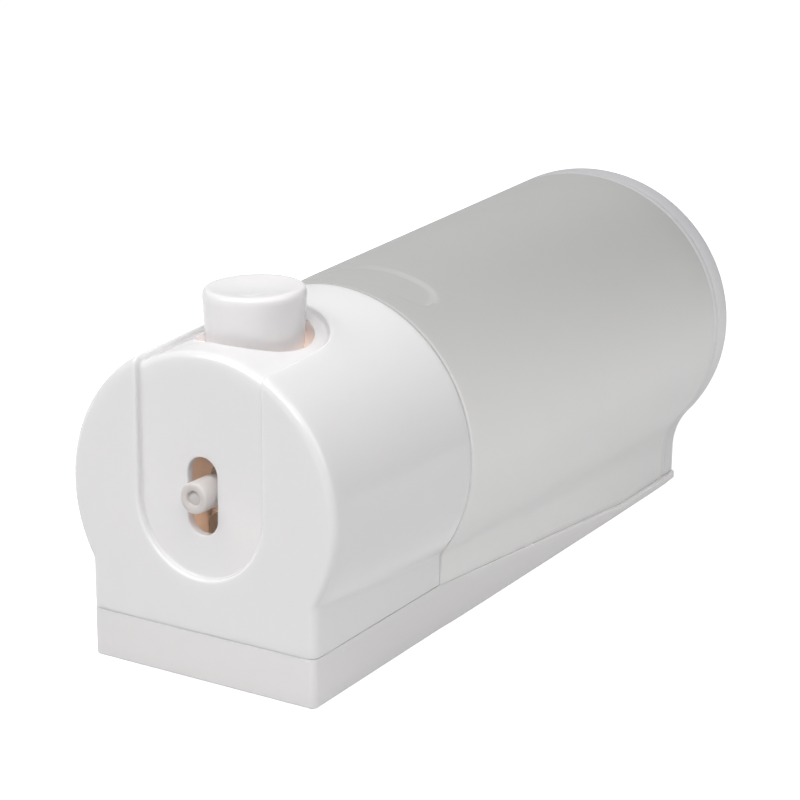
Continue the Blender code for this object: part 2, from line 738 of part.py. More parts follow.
def make_pump_body(material, parent):
    """Cylinder under the button, inlet pipe, flange cup for the bottle and two screw ears."""
    centre = (0, BUTTON_ALONG, 0)
    pump = rod("pump_body", CYLINDER_RADIUS, PUMP_FOOT, CYLINDER_TOP, centre, UP, parent)
    pump.data.materials.append(material)
    ear_top = PUMP_FOOT + EAR_HEIGHT
    low = (-EAR_ACROSS, BUTTON_ALONG - EAR_RADIUS / 2, PUMP_FOOT)
    high = (EAR_ACROSS, BUTTON_ALONG + EAR_RADIUS / 2, ear_top)
    join(pump, block("ear bar", low, high, None, parent))
    for number, place in enumerate(ear_places(), 1):
        join(pump, pin(f"ear {number}", EAR_RADIUS, PUMP_FOOT, ear_top, place, parent))
    path = pipe_path()
    join(pump, swept("inlet pipe", path, PIPE_RADIUS, parent))
    neck = (0, 0, NECK_AXIS)
    join(pump, rod("flange", FLANGE_RADIUS, FLANGE_START, FLANGE_END, neck, ALONG, parent))
    high = CYLINDER_TOP + OVERRUN
    cut(pump, rod("cylinder bore", CYLINDER_BORE, CYLINDER_FLOOR, high, centre, UP, parent))
    first = (BUTTON_ALONG + CYLINDER_BORE - OVERRUN, PIPE_LOW)
    last = (FLANGE_END + OVERRUN, NECK_AXIS)
    cut(pump, swept("inlet bore", [first] + path[1:-1] + [last], PIPE_BORE, parent))
    cup = FLANGE_END - CUP_DEPTH
    cut(pump, rod("flange cup", CUP_RADIUS, cup, FLANGE_END + OVERRUN, neck, ALONG, parent))
    low = PUMP_FOOT - OVERRUN
    for number, place in enumerate(ear_places(), 1):
        cut(pump, pin(f"ear hole {number}", SHANK_RADIUS + GAP, low, ear_top + OVERRUN, place, parent))
    return pump


def make_cap(material, parent):
    """Screw cap of the cylinder, whose hole guides the stem."""
    inner = CYLINDER_RADIUS + GAP
    outer = inner + CAP_SKIRT
    hole = STEM_RADIUS + GAP
    plate = CYLINDER_TOP + GAP
    profile = [
        (hole, plate),
        (hole, CAP_TOP),
        (outer, CAP_TOP),
        (outer, CAP_FOOT),
        (inner, CAP_FOOT),
        (inner, plate),
    ]
    return turned("cylinder_cap", profile, (0, BUTTON_ALONG, 0), UP, material, parent)


def make_stem(material, parent):
    """Hollow stem from the piston to the button, with the spout arm on its hub."""
    foot = PISTON_TOP - SOCKET_DEPTH + GAP
    stop_top = WELL_FLOOR - WELL_FLOOR_THICK - GAP
    top = BUTTON_CEILING - GAP
    profile = [
        (0, foot),
        (STEM_RADIUS, foot),
        (STEM_RADIUS, SPOUT_AXIS - HUB_HALF),
        (HUB_RADIUS, SPOUT_AXIS - HUB_HALF),
        (HUB_RADIUS, SPOUT_AXIS + HUB_HALF),
        (ROD_RADIUS, SPOUT_AXIS + HUB_HALF),
        (ROD_RADIUS, stop_top - STOP_THICK),
        (STOP_RADIUS, stop_top - STOP_THICK),
        (STOP_RADIUS, stop_top),
        (ROD_RADIUS, stop_top),
        (ROD_RADIUS, top),
        (0, top),
    ]
    centre = (0, BUTTON_ALONG, 0)
    stem = turned("pump_stem", profile, centre, UP, material, parent)
    spout = (0, 0, SPOUT_AXIS)
    arm_root = BUTTON_ALONG - HUB_RADIUS / 2
    join(stem, rod("spout arm", ARM_RADIUS, ARM_END, arm_root, spout, ALONG, parent))
    bore_top = SPOUT_AXIS + ARM_BORE / 2
    cut(stem, pin("stem bore", STEM_BORE, foot - OVERRUN, bore_top, centre[:2], parent))
    start = ARM_END - OVERRUN
    steps = SMALL_TURN_STEPS
    cut(stem, rod("arm bore", ARM_BORE, start, BUTTON_ALONG, spout, ALONG, parent, steps))
    return stem


def make_piston(material, parent):
    """Two lands with the seal's groove between them, bored through, with a socket on top."""
    groove = PISTON_RADIUS - GROOVE_DEPTH
    low = PISTON_FOOT + LAND_HEIGHT
    high = low + GROOVE_HEIGHT
    socket = STEM_RADIUS + GAP
    profile = [
        (STEM_BORE, PISTON_FOOT),
        (PISTON_RADIUS, PISTON_FOOT),
        (PISTON_RADIUS, low),
        (groove, low),
        (groove, high),
        (PISTON_RADIUS, high),
        (PISTON_RADIUS, PISTON_TOP),
        (socket, PISTON_TOP),
        (socket, PISTON_TOP - SOCKET_DEPTH),
        (STEM_BORE, PISTON_TOP - SOCKET_DEPTH),
    ]
    return turned("piston", profile, (0, BUTTON_ALONG, 0), UP, material, parent)


def make_seal(material, parent):
    """Ring in the piston's groove, crowned where it rubs on the cylinder."""
    inner = PISTON_RADIUS - GROOVE_DEPTH + GAP
    outer = CYLINDER_BORE - GAP
    low = PISTON_FOOT + LAND_HEIGHT + GAP
    high = low + GROOVE_HEIGHT - GAP - GAP
    crown = (high - low) / 4
    profile = [
        (inner, low),
        (outer - crown, low),
        (outer, low + crown),
        (outer, high - crown),
        (outer - crown, high),
        (inner, high),
    ]
    return turned("piston_seal", profile, (0, BUTTON_ALONG, 0), UP, material, parent)


def make_button(material, parent):
    """Cap with a flared side, rounded rim and dished top, and a boss for the stem."""
    rim = BUTTON_RADIUS - BUTTON_ROUND
    shoulder = BUTTON_TOP - BUTTON_ROUND
    profile = []
    for k in range(ROUND_STEPS + 1):
        share = k / ROUND_STEPS
        profile.append((rim * share, BUTTON_TOP - BUTTON_DISH * (1 - share**2)))
    for k in range(1, ROUND_STEPS + 1):
        turn = math.pi / 2 * k / ROUND_STEPS
        profile.append((rim + BUTTON_ROUND * math.sin(turn), shoulder + BUTTON_ROUND * math.cos(turn)))
    inner = BUTTON_FOOT_RADIUS - BUTTON_WALL
    socket = BUTTON_SOCKET
    boss = BUTTON_BOSS_RADIUS
    profile += [
        (BUTTON_FOOT_RADIUS, BUTTON_FOOT),
        (inner, BUTTON_FOOT),
        (inner, BUTTON_CEILING),
        (boss, BUTTON_CEILING),
        (boss, BUTTON_BOSS_FOOT),
        (socket, BUTTON_BOSS_FOOT),
        (socket, BUTTON_CEILING),
        (0, BUTTON_CEILING),
    ]
    return turned("button", profile, (0, BUTTON_ALONG, 0), UP, material, parent)


def make_spring(material, parent):
    """Coil in the button's well: an unbroken tube, with flat end turns."""
    low = WELL_FLOOR + GAP + SPRING_WIRE
    high = BUTTON_CEILING - GAP - SPRING_WIRE
    clear = SPRING_CLEAR + 2 * SPRING_WIRE
    count = SPRING_TURNS * TURN_POINTS
    rings = np.arange(count + 1) / TURN_POINTS
    rise = high - low
    climb = np.interp(rings, (0, 1, SPRING_TURNS - 1, SPRING_TURNS), (0, clear, rise - clear, rise))
    curve = bpy.data.curves.new("return_spring", "CURVE")
    curve.dimensions = "3D"
    curve.bevel_depth = SPRING_WIRE
    curve.bevel_resolution = 1
    curve.use_fill_caps = True
    line = curve.splines.new("POLY")
    line.points.add(count)
    places = []
    for k, turn in enumerate(rings):
        x = SPRING_RADIUS * math.cos(math.tau * turn)
        y = SPRING_RADIUS * math.sin(math.tau * turn)
        places.append((x, y, low + climb[k]))
        line.points[k].co = (*places[-1], 1)
    spring = bpy.data.objects.new("return_spring", curve)
    bpy.context.scene.collection.objects.link(spring)
    curve.materials.append(material)
    spring.location = (0, BUTTON_ALONG, 0)
    hang(spring, parent)
    places = np.array(places)
    apart = np.linalg.norm(places[:, None] - places[None], axis=2)
    order = np.arange(count + 1)
    near = np.abs(order[:, None] - order[None]) < TURN_POINTS // 2
    least = apart[~near].min() - 2 * SPRING_WIRE
    print(f"return_spring: least gap between turns {least / MM:.2f} mm")
    return spring


def make_nozzle_tube(material, parent):
    """Silicone tube: narrow outlet through the slot, wider socket over the spout arm."""
    socket = ARM_RADIUS + GAP
    seat = VALVE_SEAT - GAP
    profile = [
        (TUBE_BORE, -TUBE_REACH),
        (TUBE_RADIUS - TUBE_ROUND, -TUBE_REACH),
        (TUBE_RADIUS, TUBE_ROUND - TUBE_REACH),
        (TUBE_RADIUS, SOCKET_START),
        (SOCKET_RADIUS, SOCKET_START + SOCKET_FLARE),
        (SOCKET_RADIUS, SOCKET_END),
        (socket, SOCKET_END),
        (socket, seat),
        (TUBE_BORE, seat),
    ]
    return turned("nozzle_tube", profile, (0, 0, SPOUT_AXIS), ALONG, material, parent)


def make_tube_clip(material, parent):
    """Split steel band round the tube's socket, with two ears to squeeze."""
    inner = SOCKET_RADIUS + GAP
    outer = inner + CLIP_WALL
    end = CLIP_START + CLIP_LENGTH
    profile = [(inner, CLIP_START), (outer, CLIP_START), (outer, end), (inner, end)]
    clip = turned("tube_clip", profile, (0, 0, SPOUT_AXIS), ALONG, material, parent)
    half = CLIP_SPLIT + CLIP_WALL
    top = SPOUT_AXIS + outer + CLIP_EAR
    low = (-half, CLIP_START, SPOUT_AXIS + inner + BITE / 2)
    join(clip, block("clip ears", low, (half, end, top), None, parent))
    low = (-CLIP_SPLIT, CLIP_START - OVERRUN, SPOUT_AXIS + SOCKET_RADIUS)
    cut(clip, block("clip split", low, (CLIP_SPLIT, end + OVERRUN, top + OVERRUN), None, parent))
    return clip


def make_valve(name, radius, nose_radius, seat, height, material, parent):
    """Duckbill valve seen as its turned body: a disc, and a blind nose towards the outlet."""
    bore = nose_radius / 2
    tip = seat - VALVE_NOSE
    profile = [
        (bore, seat + VALVE_DISC),
        (radius, seat + VALVE_DISC),
        (radius, seat),
        (nose_radius, seat),
        (bore + VALVE_TIP, tip),
        (0, tip),
        (0, tip + VALVE_TIP),
        (bore, tip + VALVE_TIP + VALVE_TIP),
    ]
    return turned(name, profile, (0, 0, height), ALONG, material, parent, SMALL_TURN_STEPS)


def make_collar_nut(material, parent):
    """Nut that pulls the pump's flange on the bottle's neck, with finger grooves round it."""
    inner = NECK_RADIUS + GAP
    outer = NUT_RADIUS
    lip_end = FLANGE_START - GAP
    start = lip_end - NUT_LIP
    end = HOUSING_LENGTH - BITE
    profile = [
        (NUT_LIP_BORE, start),
        (outer - NUT_GRIP_DEPTH, start),
        (outer, start + NUT_GRIP_DEPTH),
        (outer, end),
        (inner, end),
        (inner, lip_end),
        (NUT_LIP_BORE, lip_end),
    ]
    nut = turned("collar_nut", profile, (0, 0, NECK_AXIS), ALONG, material, parent)
    for k in range(NUT_GRIPS):
        turn = math.tau * k / NUT_GRIPS
        reach = outer + NUT_GRIP_RADIUS - NUT_GRIP_DEPTH
        place = (reach * math.cos(turn), 0, NECK_AXIS + reach * math.sin(turn))
        name = f"nut groove {k + 1}"
        low = start - OVERRUN
        high = end - NUT_LIP
        cut(nut, rod(name, NUT_GRIP_RADIUS, low, high, place, ALONG, parent, GROOVE_STEPS))
    return nut


def make_neck_gasket(material, parent):
    """Flat ring between the flange and the end of the bottle's neck."""
    start = FLANGE_END + GAP
    end = start + GASKET_THICK
    outer = NECK_RADIUS - GAP
    profile = [(NECK_BORE, start), (outer, start), (outer, end), (NECK_BORE, end)]
    return turned("neck_gasket", profile, (0, 0, NECK_AXIS), ALONG, material, parent)


def make_bottle(material, parent):
    """Frosted bottle: keyhole shell, open at the filling end, with a neck for the nut."""
    start = HOUSING_LENGTH + GAP / 2
    stations = rounded_stations(start, BOTTLE_ROUND)
    for k in range(GRIP_STATIONS + 1):
        share = 2 * k / GRIP_STATIONS - 1
        stations.append((GRIP_ALONG + GRIP_HALF * share, 0))
    stations += [(MIDWAY, 0), (WEDGE_END, 0), (MOUTH_RIM, 0)]
    rings = [keyhole(y, bottle_foot(y), inset, grip=True) for y, inset in stations]
    bottle = loft("bottle", rings, material, parent)
    neck = (0, 0, NECK_AXIS)
    join(bottle, rod("bottle neck", NECK_RADIUS, NECK_START, start + BITE, neck, ALONG, parent))
    add_hook_lug(bottle, "rear", BOTTLE_LUG, bottle_foot(BOTTLE_LUG) + BITE, parent)
    inside = start + BOTTLE_WALL
    stations = [inside, MIDWAY, WEDGE_END, MOUTH_RIM + OVERRUN]
    rings = [keyhole(y, bottle_foot(y) + BOTTLE_WALL, BOTTLE_WALL) for y in stations]
    cut(bottle, loft("bottle inside", rings, None, parent))
    low = NECK_START - OVERRUN
    cut(bottle, rod("neck bore", NECK_BORE, low, inside + OVERRUN, neck, ALONG, parent))
    return bottle


def make_lid(material, parent):
    """Lid with a rounded edge and a plug rim that fits the bottle's mouth."""
    end_stations = [(BODY_LENGTH - reach, inset) for reach, inset in rounded_stations(0, LID_ROUND)]
    stations = [(LID_START, 0)] + list(reversed(end_stations))
    rings = [keyhole(y, bottle_foot(y), inset) for y, inset in stations]
    lid = loft("bottle_lid", rings, material, parent)
    fit = BOTTLE_WALL + GAP
    plug_start = LID_START - PLUG_LENGTH
    rings = [keyhole(y, bottle_foot(y) + fit, fit) for y in (plug_start, LID_START + BITE)]
    join(lid, loft("plug", rings, None, parent))
    deep = fit + PLUG_WALL
    inner_end = BODY_LENGTH - LID_WALL
    rings = [keyhole(y, bottle_foot(y) + deep, deep) for y in (plug_start - OVERRUN, LID_START)]
    rings.append(keyhole(inner_end, bottle_foot(inner_end) + LID_WALL, LID_WALL))
    cut(lid, loft("lid inside", rings, None, parent))
    place = (0, 0, VENT_HEIGHT)
    low = inner_end - OVERRUN
    high = BODY_LENGTH + OVERRUN
    cut(lid, rod("vent", VENT_RADIUS, low, high, place, ALONG, parent, SMALL_TURN_STEPS))
    return lid


def make_lid_gasket(material, parent):
    """Silicone band between the bottle's rim and the lid, of the same keyhole outline."""
    start = MOUTH_RIM + GAP
    ends = (start, start + LID_GASKET_THICK)
    rings = [keyhole(y, bottle_foot(y) + GAP, GAP) for y in ends]
    gasket = loft("lid_gasket", rings, material, parent)
    ends = (start - OVERRUN, start + LID_GASKET_THICK + OVERRUN)
    rings = [keyhole(y, bottle_foot(y) + BOTTLE_WALL, BOTTLE_WALL) for y in ends]
    cut(gasket, loft("gasket inside", rings, None, parent))
    return gasket


def main():
    clear_scene()
    housing_abs = finish("housing gloss ABS", (0.76, 0.75, 0.76), 0.2)
    button_abs = finish("button gloss ABS", (0.80, 0.79, 0.79), 0.18)
    plate_abs = finish("wall plate ABS", (0.74, 0.73, 0.73), 0.3)
    inner_abs = finish("inner ABS", (0.70, 0.69, 0.67), 0.4)
    frosted = finish("frosted polypropylene", (0.66, 0.69, 0.68), 0.45, alpha=0.8, transmission=0.3)
    lid_frosted = finish("lid frosted polypropylene", (0.62, 0.65, 0.64), 0.4, alpha=0.85, transmission=0.2)
    silicone = finish("milky silicone", (0.60, 0.55, 0.52), 0.4)
    seal_silicone = finish("seal silicone", (0.66, 0.65, 0.64), 0.45)
    acetal = finish("natural acetal", (0.70, 0.66, 0.58), 0.35)
    zinc = finish("zinc plated steel", (0.58, 0.59, 0.60), 0.35, metallic=1.0)
    stainless = finish("stainless steel", (0.55, 0.55, 0.54), 0.25, metallic=1.0)

    body = empty("dispenser", (0, -MIDDLE, 0))
    press = empty("press_axis", (0, BUTTON_ALONG, SPOUT_AXIS), body)
    lift = empty("lid_axis", (0, LID_START, LID_CENTRE), body)

    make_wall_plate(plate_abs, body)
    make_housing(housing_abs, body)
    make_chassis(inner_abs, body)
    for number, place in enumerate(screw_places(), 1):
        make_screw(f"chassis_screw_{number}", place, zinc, body)
    for number, place in enumerate(ear_places(), 1):
        make_screw(f"pump_screw_{number}", place, zinc, body)
    make_pump_body(acetal, body)
    make_cap(acetal, body)
    make_spring(stainless, body)
    cup = FLANGE_END - CUP_DEPTH + GAP
    make_valve("inlet_valve", CUP_RADIUS - GAP, PIPE_BORE - GAP, cup, NECK_AXIS, seal_silicone, body)
    make_neck_gasket(seal_silicone, body)
    make_collar_nut(inner_abs, body)
    make_bottle(frosted, body)

    make_button(button_abs, press)
    make_stem(acetal, press)
    make_piston(acetal, press)
    make_seal(seal_silicone, press)
    make_nozzle_tube(silicone, press)
    make_tube_clip(stainless, press)
    nose = TUBE_BORE - GAP
    make_valve("outlet_valve", ARM_RADIUS, nose, VALVE_SEAT, SPOUT_AXIS, seal_silicone, press)

    make_lid(lid_frosted, lift)
    make_lid_gasket(seal_silicone, lift)


main()
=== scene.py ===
# %% [markdown]
# # A wall soap dispenser
#
# This lesson dresses a push dispenser for liquid soap. It is made of a white ABS housing with
# a button, a frosted bottle with a lid, and a wall plate that both of them lie on here.
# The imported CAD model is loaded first. It gives each piece its place and its movement, and the
# surfaces made below stand where its solids stand.

# %% Load the frame
import math

import bmesh
import bpy
import numpy as np
from mathutils import Matrix, Vector


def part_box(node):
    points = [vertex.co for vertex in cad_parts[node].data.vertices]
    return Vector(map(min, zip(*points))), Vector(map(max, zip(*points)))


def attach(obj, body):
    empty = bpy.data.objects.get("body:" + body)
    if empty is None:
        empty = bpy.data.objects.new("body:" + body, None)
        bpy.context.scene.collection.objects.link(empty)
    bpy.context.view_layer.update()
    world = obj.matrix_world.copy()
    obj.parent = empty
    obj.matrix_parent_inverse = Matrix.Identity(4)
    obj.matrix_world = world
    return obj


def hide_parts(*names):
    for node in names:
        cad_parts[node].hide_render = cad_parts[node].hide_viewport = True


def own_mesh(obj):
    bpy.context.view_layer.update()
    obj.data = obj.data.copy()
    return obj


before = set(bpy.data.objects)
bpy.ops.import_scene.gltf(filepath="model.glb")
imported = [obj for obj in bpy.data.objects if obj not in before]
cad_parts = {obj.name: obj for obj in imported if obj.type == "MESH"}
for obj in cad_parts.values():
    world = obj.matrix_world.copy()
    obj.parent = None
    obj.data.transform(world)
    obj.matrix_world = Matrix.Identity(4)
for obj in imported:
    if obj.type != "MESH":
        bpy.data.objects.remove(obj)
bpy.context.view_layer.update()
print("nodes:", sorted(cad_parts))

# %% [markdown]
# ## Millimetres and metres
#
# The dispenser is drawn in millimetres: x across it, y along it from the end that gives the
# soap, and z up from the wall. Blender works in metres, so every mesh passes through one
# function that turns these into the frame's own metres.

# %% From millimetres to the frame
MM = 0.001
FACE_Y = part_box("pump_housing")[0].y


def in_frame(points):
    """Millimetres times 0.001, moved along y to the frame's face, give a point in metres."""
    return np.asarray(points, float) * MM + np.array([0.0, FACE_Y, 0.0])


print("the face lies at y =", round(FACE_Y, 5), "m")

# %% [markdown]
# ## From grids to a mesh
#
# Every surface here is a grid of points, worked out with whole arrays. A piece is often several
# grids that share their borders, as a dress is sewn from panels. They could be made as one grid,
# but then the corners of a hole would be ragged. Panels that follow each border keep them crisp.
# Points that lie on each other are merged, and the faces are turned outwards.


# %% Sew grids into one piece
MERGE = 0.004
SLIVER = 0.001
SHARP_ANGLE = 38


def quads_of(rows, columns, first):
    """Corner numbers of the quads between neighbouring rows and columns of a grid."""
    number = first + np.arange(rows * columns).reshape(rows, columns)
    corners = [number[:-1, :-1], number[1:, :-1], number[1:, 1:], number[:-1, 1:]]
    return np.stack(corners, axis=-1).reshape(-1, 4)


def mirrored(grids):
    """The grids together with their mirror images in x."""
    return grids + [grid * np.array([-1.0, 1.0, 1.0]) for grid in grids]


def sewn(name, grids, sharp):
    """One mesh from grids in millimetres: merged, turned outwards, smooth below the sharp angle."""
    points = np.concatenate([grid.reshape(-1, 3) for grid in grids])
    first = np.cumsum([0] + [grid.shape[0] * grid.shape[1] for grid in grids])
    faces = np.concatenate([quads_of(g.shape[0], g.shape[1], f) for g, f in zip(grids, first)])
    mesh = bpy.data.meshes.new(name)
    mesh.from_pydata(in_frame(points), [], faces.tolist())
    sewing = bmesh.new()
    sewing.from_mesh(mesh)
    bmesh.ops.remove_doubles(sewing, verts=sewing.verts, dist=MERGE * MM)
    bmesh.ops.dissolve_degenerate(sewing, dist=SLIVER * MM, edges=sewing.edges)
    bmesh.ops.recalc_face_normals(sewing, faces=sewing.faces)
    open_edges = sum(1 for edge in sewing.edges if len(edge.link_faces) != 2)
    sewing.to_mesh(mesh)
    sewing.free()
    mesh.polygons.foreach_set("use_smooth", np.ones(len(mesh.polygons), bool))
    mesh.set_sharp_from_angle(angle=math.radians(sharp))
    print(f"{name}: {len(mesh.polygons)} faces, {open_edges} open edges")
    return mesh


def placed(name, data):
    """A new object with its data, linked to the scene at the origin."""
    thing = bpy.data.objects.new(name, data)
    bpy.context.scene.collection.objects.link(thing)
    return thing


def piece(name, grids, material, body, stands_for, sharp=SHARP_ANGLE):
    """A sewn mesh as an object that rides on a body and stands for a node of the frame."""
    mesh = sewn(name, grids, sharp)
    mesh.materials.append(material)
    thing = placed(name, mesh)
    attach(thing, body)
    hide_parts(stands_for)
    return thing


print("quads in a grid of 3 rows and 4 columns:", len(quads_of(3, 4, 0)))

# %% [markdown]
# ## Colours
#
# Colours are picked as sRGB hex values, as a maker would read them off a swatch, and one
# function turns them into the linear numbers that the shaders work with.


# %% Hex to linear
def colour(swatch):
    """A channel c becomes c / 12.92 below 0.04045, and ((c + 0.055) / 1.055) ** 2.4 above."""
    channels = np.array([int(swatch[i : i + 2], 16) for i in (1, 3, 5)]) / 255
    low = channels / 12.92
    high = ((channels + 0.055) / 1.055) ** 2.4
    return (*np.where(channels <= 0.04045, low, high).tolist(), 1.0)


WHITE = colour("#FFFFFF")
print("mid grey #808080 is", round(colour("#808080")[0], 3), "in linear light")

# %% [markdown]
# ## Nodes
#
# A material is a small network. One function adds a node with its settings and its links, so
# that each material below reads as a list of what it is made of.


# %% Add a node
def add_node(tree, kind, settings=(), links=()):
    """A new node: settings are (property or input, value) pairs, links are (input, output) pairs."""
    node = tree.nodes.new(kind)
    for key, value in settings:
        if isinstance(key, str) and hasattr(node, key):
            setattr(node, key, value)
        else:
            node.inputs[key].default_value = value
    for key, output in links:
        tree.links.new(output, node.inputs[key])
    return node


def new_material(name):
    """An empty material with its tree."""
    material = bpy.data.materials.new(name)
    material.use_nodes = True
    material.node_tree.nodes.clear()
    return material, material.node_tree


print("helpers:", add_node.__name__, "and", new_material.__name__)

# %% [markdown]
# ## The camera
#
# The photograph looks down at the dispenser from its front right corner through a long lens.
# A camera could be aimed by eye at a target. Here its direction is written as three angles, and
# the axes of the view are worked out from them, because a small roll is easy to add that way.

# %% Place the camera
YAW = math.radians(30.507)
PITCH = math.radians(15.4055)
ROLL = math.radians(0.622)
LENS = 89.18
CAMERA_PLACE = (0.24878, -0.43408, 0.18072)
level = Vector((math.cos(YAW), math.sin(YAW), 0))
aim = Vector(
    (-math.sin(YAW) * math.cos(PITCH), math.cos(YAW) * math.cos(PITCH), -math.sin(PITCH))
)
upward = level.cross(aim)
right = level * math.cos(ROLL) + upward * math.sin(ROLL)
above = upward * math.cos(ROLL) - level * math.sin(ROLL)
turn = Matrix((right, above, -aim)).transposed().to_4x4()
eye = bpy.data.cameras.new("camera")
eye.lens = LENS
eye.sensor_width = 36
eye.clip_start = 0.01
camera = placed("camera", eye)
camera.matrix_world = Matrix.Translation(CAMERA_PLACE) @ turn
bpy.context.scene.camera = camera
print("camera at", [round(v, 3) for v in camera.location])

# %% [markdown]
# ## The surroundings
#
# The dispenser is photographed in a white studio. White walls under strong lamps would do, but
# lamps as strong as that would bleach the dispenser too. So the surroundings glow white only for
# the camera, in reflections and through clear plastic, and light the dispenser faintly and
# evenly. In a reflection the walls are a little less bright than the paper below them.

# %% Make the surroundings white
SURROUND_LIGHT = 0.04
LOSS_IN_GLOSS = 0.22
scene = bpy.context.scene
scene.view_settings.view_transform = "Standard"


def looked_at(tree):
    """The largest of three: 1 for camera, glossy and transmission rays, and 0 for the rest."""
    path = add_node(tree, "ShaderNodeLightPath")
    level = path.outputs["Is Camera Ray"]
    for ray in ("Is Glossy Ray", "Is Transmission Ray"):
        pair = [(0, level), (1, path.outputs[ray])]
        level = add_node(tree, "ShaderNodeMath", [("operation", "MAXIMUM")], pair).outputs[0]
    return level


world = bpy.data.worlds.new("white studio")
world.use_nodes = True
tree = world.node_tree
tree.nodes.clear()
path = add_node(tree, "ShaderNodeLightPath")
brightness = add_node(
    tree,
    "ShaderNodeMath",
    [("operation", "MULTIPLY_ADD"), (1, -LOSS_IN_GLOSS), (2, 1.0)],
    [(0, path.outputs["Is Glossy Ray"])],
)
soft = add_node(tree, "ShaderNodeBackground", [("Color", WHITE), ("Strength", SURROUND_LIGHT)])
white = add_node(
    tree, "ShaderNodeBackground", [("Color", WHITE)], [("Strength", brightness.outputs[0])]
)
choice = add_node(
    tree,
    "ShaderNodeMixShader",
    [],
    [(0, looked_at(tree)), (1, soft.outputs[0]), (2, white.outputs[0])],
)
add_node(tree, "ShaderNodeOutputWorld", [], [("Surface", choice.outputs[0])])
scene.world = world
print("surroundings:", world.name)

# %% [markdown]
# ## The paper
#
# The dispenser lies on a sheet of white paper that ends a little to its right. A floor that only
# glows would show no shadow. So a diffuse sheet takes the soft shadow where the plate touches
# it, and a glow for the camera is added to that. Away from the dispenser the paper glows a little
# more, because the lamps no longer reach it there.

# %% Lay the paper
PAPER_REACH = 6.0
PAPER_RIGHT = 0.29
PAPER_DEPTH = 0.0001
GLOW_NEAR = 0.78
GLOW_FROM = 0.25
GLOW_TO = 0.8
paper, tree = new_material("white studio paper")
sheet = add_node(tree, "ShaderNodeBsdfDiffuse", [("Color", colour("#D6D6D6"))])
place = add_node(tree, "ShaderNodeTexCoord").outputs["Object"]
away = add_node(tree, "ShaderNodeVectorMath", [("operation", "LENGTH")], [("Vector", place)])
rise = add_node(
    tree,
    "ShaderNodeMapRange",
    [("From Min", GLOW_FROM), ("From Max", GLOW_TO), ("To Min", GLOW_NEAR), ("To Max", 1.0)],
    [("Value", away.outputs["Value"])],
)
strength = add_node(
    tree,
    "ShaderNodeMath",
    [("operation", "MULTIPLY")],
    [(0, rise.outputs["Result"]), (1, looked_at(tree))],
)
glow = add_node(
    tree, "ShaderNodeEmission", [("Color", WHITE)], [("Strength", strength.outputs[0])]
)
both = add_node(tree, "ShaderNodeAddShader", [], [(0, sheet.outputs[0]), (1, glow.outputs[0])])
add_node(tree, "ShaderNodeOutputMaterial", [], [("Surface", both.outputs[0])])

mesh = bpy.data.meshes.new("floor")
corners = [(-PAPER_REACH, -PAPER_REACH), (PAPER_RIGHT, -PAPER_REACH)]
corners += [(PAPER_RIGHT, PAPER_REACH), (-PAPER_REACH, PAPER_REACH)]
mesh.from_pydata([(x, y, -PAPER_DEPTH) for x, y in corners], [], [[0, 1, 2, 3]])
mesh.materials.append(paper)
placed("floor", mesh)
print("laid:", paper.name)

# %% [markdown]
# ## The lamps
#
# Three softboxes light the dispenser: a wide one from the front, one from its right and a weak
# one from above. Spot lamps would cast hard shadows, which the photograph doesn't have.
# In life some light also goes right through the white shell and fills the slot and the button's
# well with a warm shade. The walls here are too dense for that, so four tiny lamps inside stand
# for it: one behind the pump, one beside the slot and two in the well.

# %% Hang the lamps
GLIMMER_RADIUS = 2


def lamp(name, kind, place, power, tone):
    """A lamp of a kind at a place in metres, with its power in watts and its colour."""
    light = bpy.data.lights.new(name, kind)
    light.energy = power
    light.color = tone[:3]
    thing = placed(name, light)
    thing.location = place
    return thing


SOFTBOXES = {
    "overhead softbox": ((-0.05, 0.15, 1.1), (0, 0.05, 0), (0.9, 0.9), 1.6),
    "front softbox": ((0, -0.72, 0.98), (0, 0, 0.05), (1.6, 0.5), 14.7),
    "side softbox": ((0.88, 0.05, 0.82), (0, 0, 0.04), (0.9, 0.9), 4.0),
}
for name, (place, target, size, power) in SOFTBOXES.items():
    softbox = lamp(name, "AREA", place, power, WHITE)
    softbox.data.shape = "RECTANGLE"
    softbox.data.size, softbox.data.size_y = size
    aim = Vector(target) - Vector(place)
    softbox.rotation_euler = aim.to_track_quat("-Z", "Y").to_euler()

GLIMMERS = {
    "glimmer behind the pump": ((-12, 38, 31), 0.0047, "#FFCDA8"),
    "glimmer beside the slot": ((11, 7, 38), 0.0017, "#FFE0D4"),
    "glimmer in the well, right": ((9, 29, 66), 0.0027, "#FFDCC6"),
    "glimmer in the well, left": ((-9.5, 17, 66), 0.0035, "#FFF1EA"),
}
for name, (place, power, tone) in GLIMMERS.items():
    glimmer = lamp(name, "POINT", in_frame(place), power, colour(tone))
    glimmer.data.shadow_soft_size = GLIMMER_RADIUS * MM

# %% [markdown]
# ## Gloss ABS
#
# The housing and the button are injection moulded in white ABS from a polished tool. Such a
# surface is smooth, but not optically flat: it has a faint waviness from shrinking, and a
# slightly uneven gloss where it has been handled. A plain white would look like paper. So the
# waves are a noise in the bump, about 6 mm long, and the uneven gloss is a wider noise in the
# roughness and the colour. Light that scatters under the skin softens the edges, as in life.
# One function makes every moulded plastic here, each from its own typical IOR: 1.53 for ABS.

# %% White moulded ABS
SMEAR = 17
# Heights in millimetres over which the painted shade fades in.
PAINTED_SHADE_FROM = 40
PAINTED_SHADE_TO = 84


def wave_scale(millimetres):
    """Noise features per metre for one feature per so many millimetres."""
    return 1000.0 / millimetres


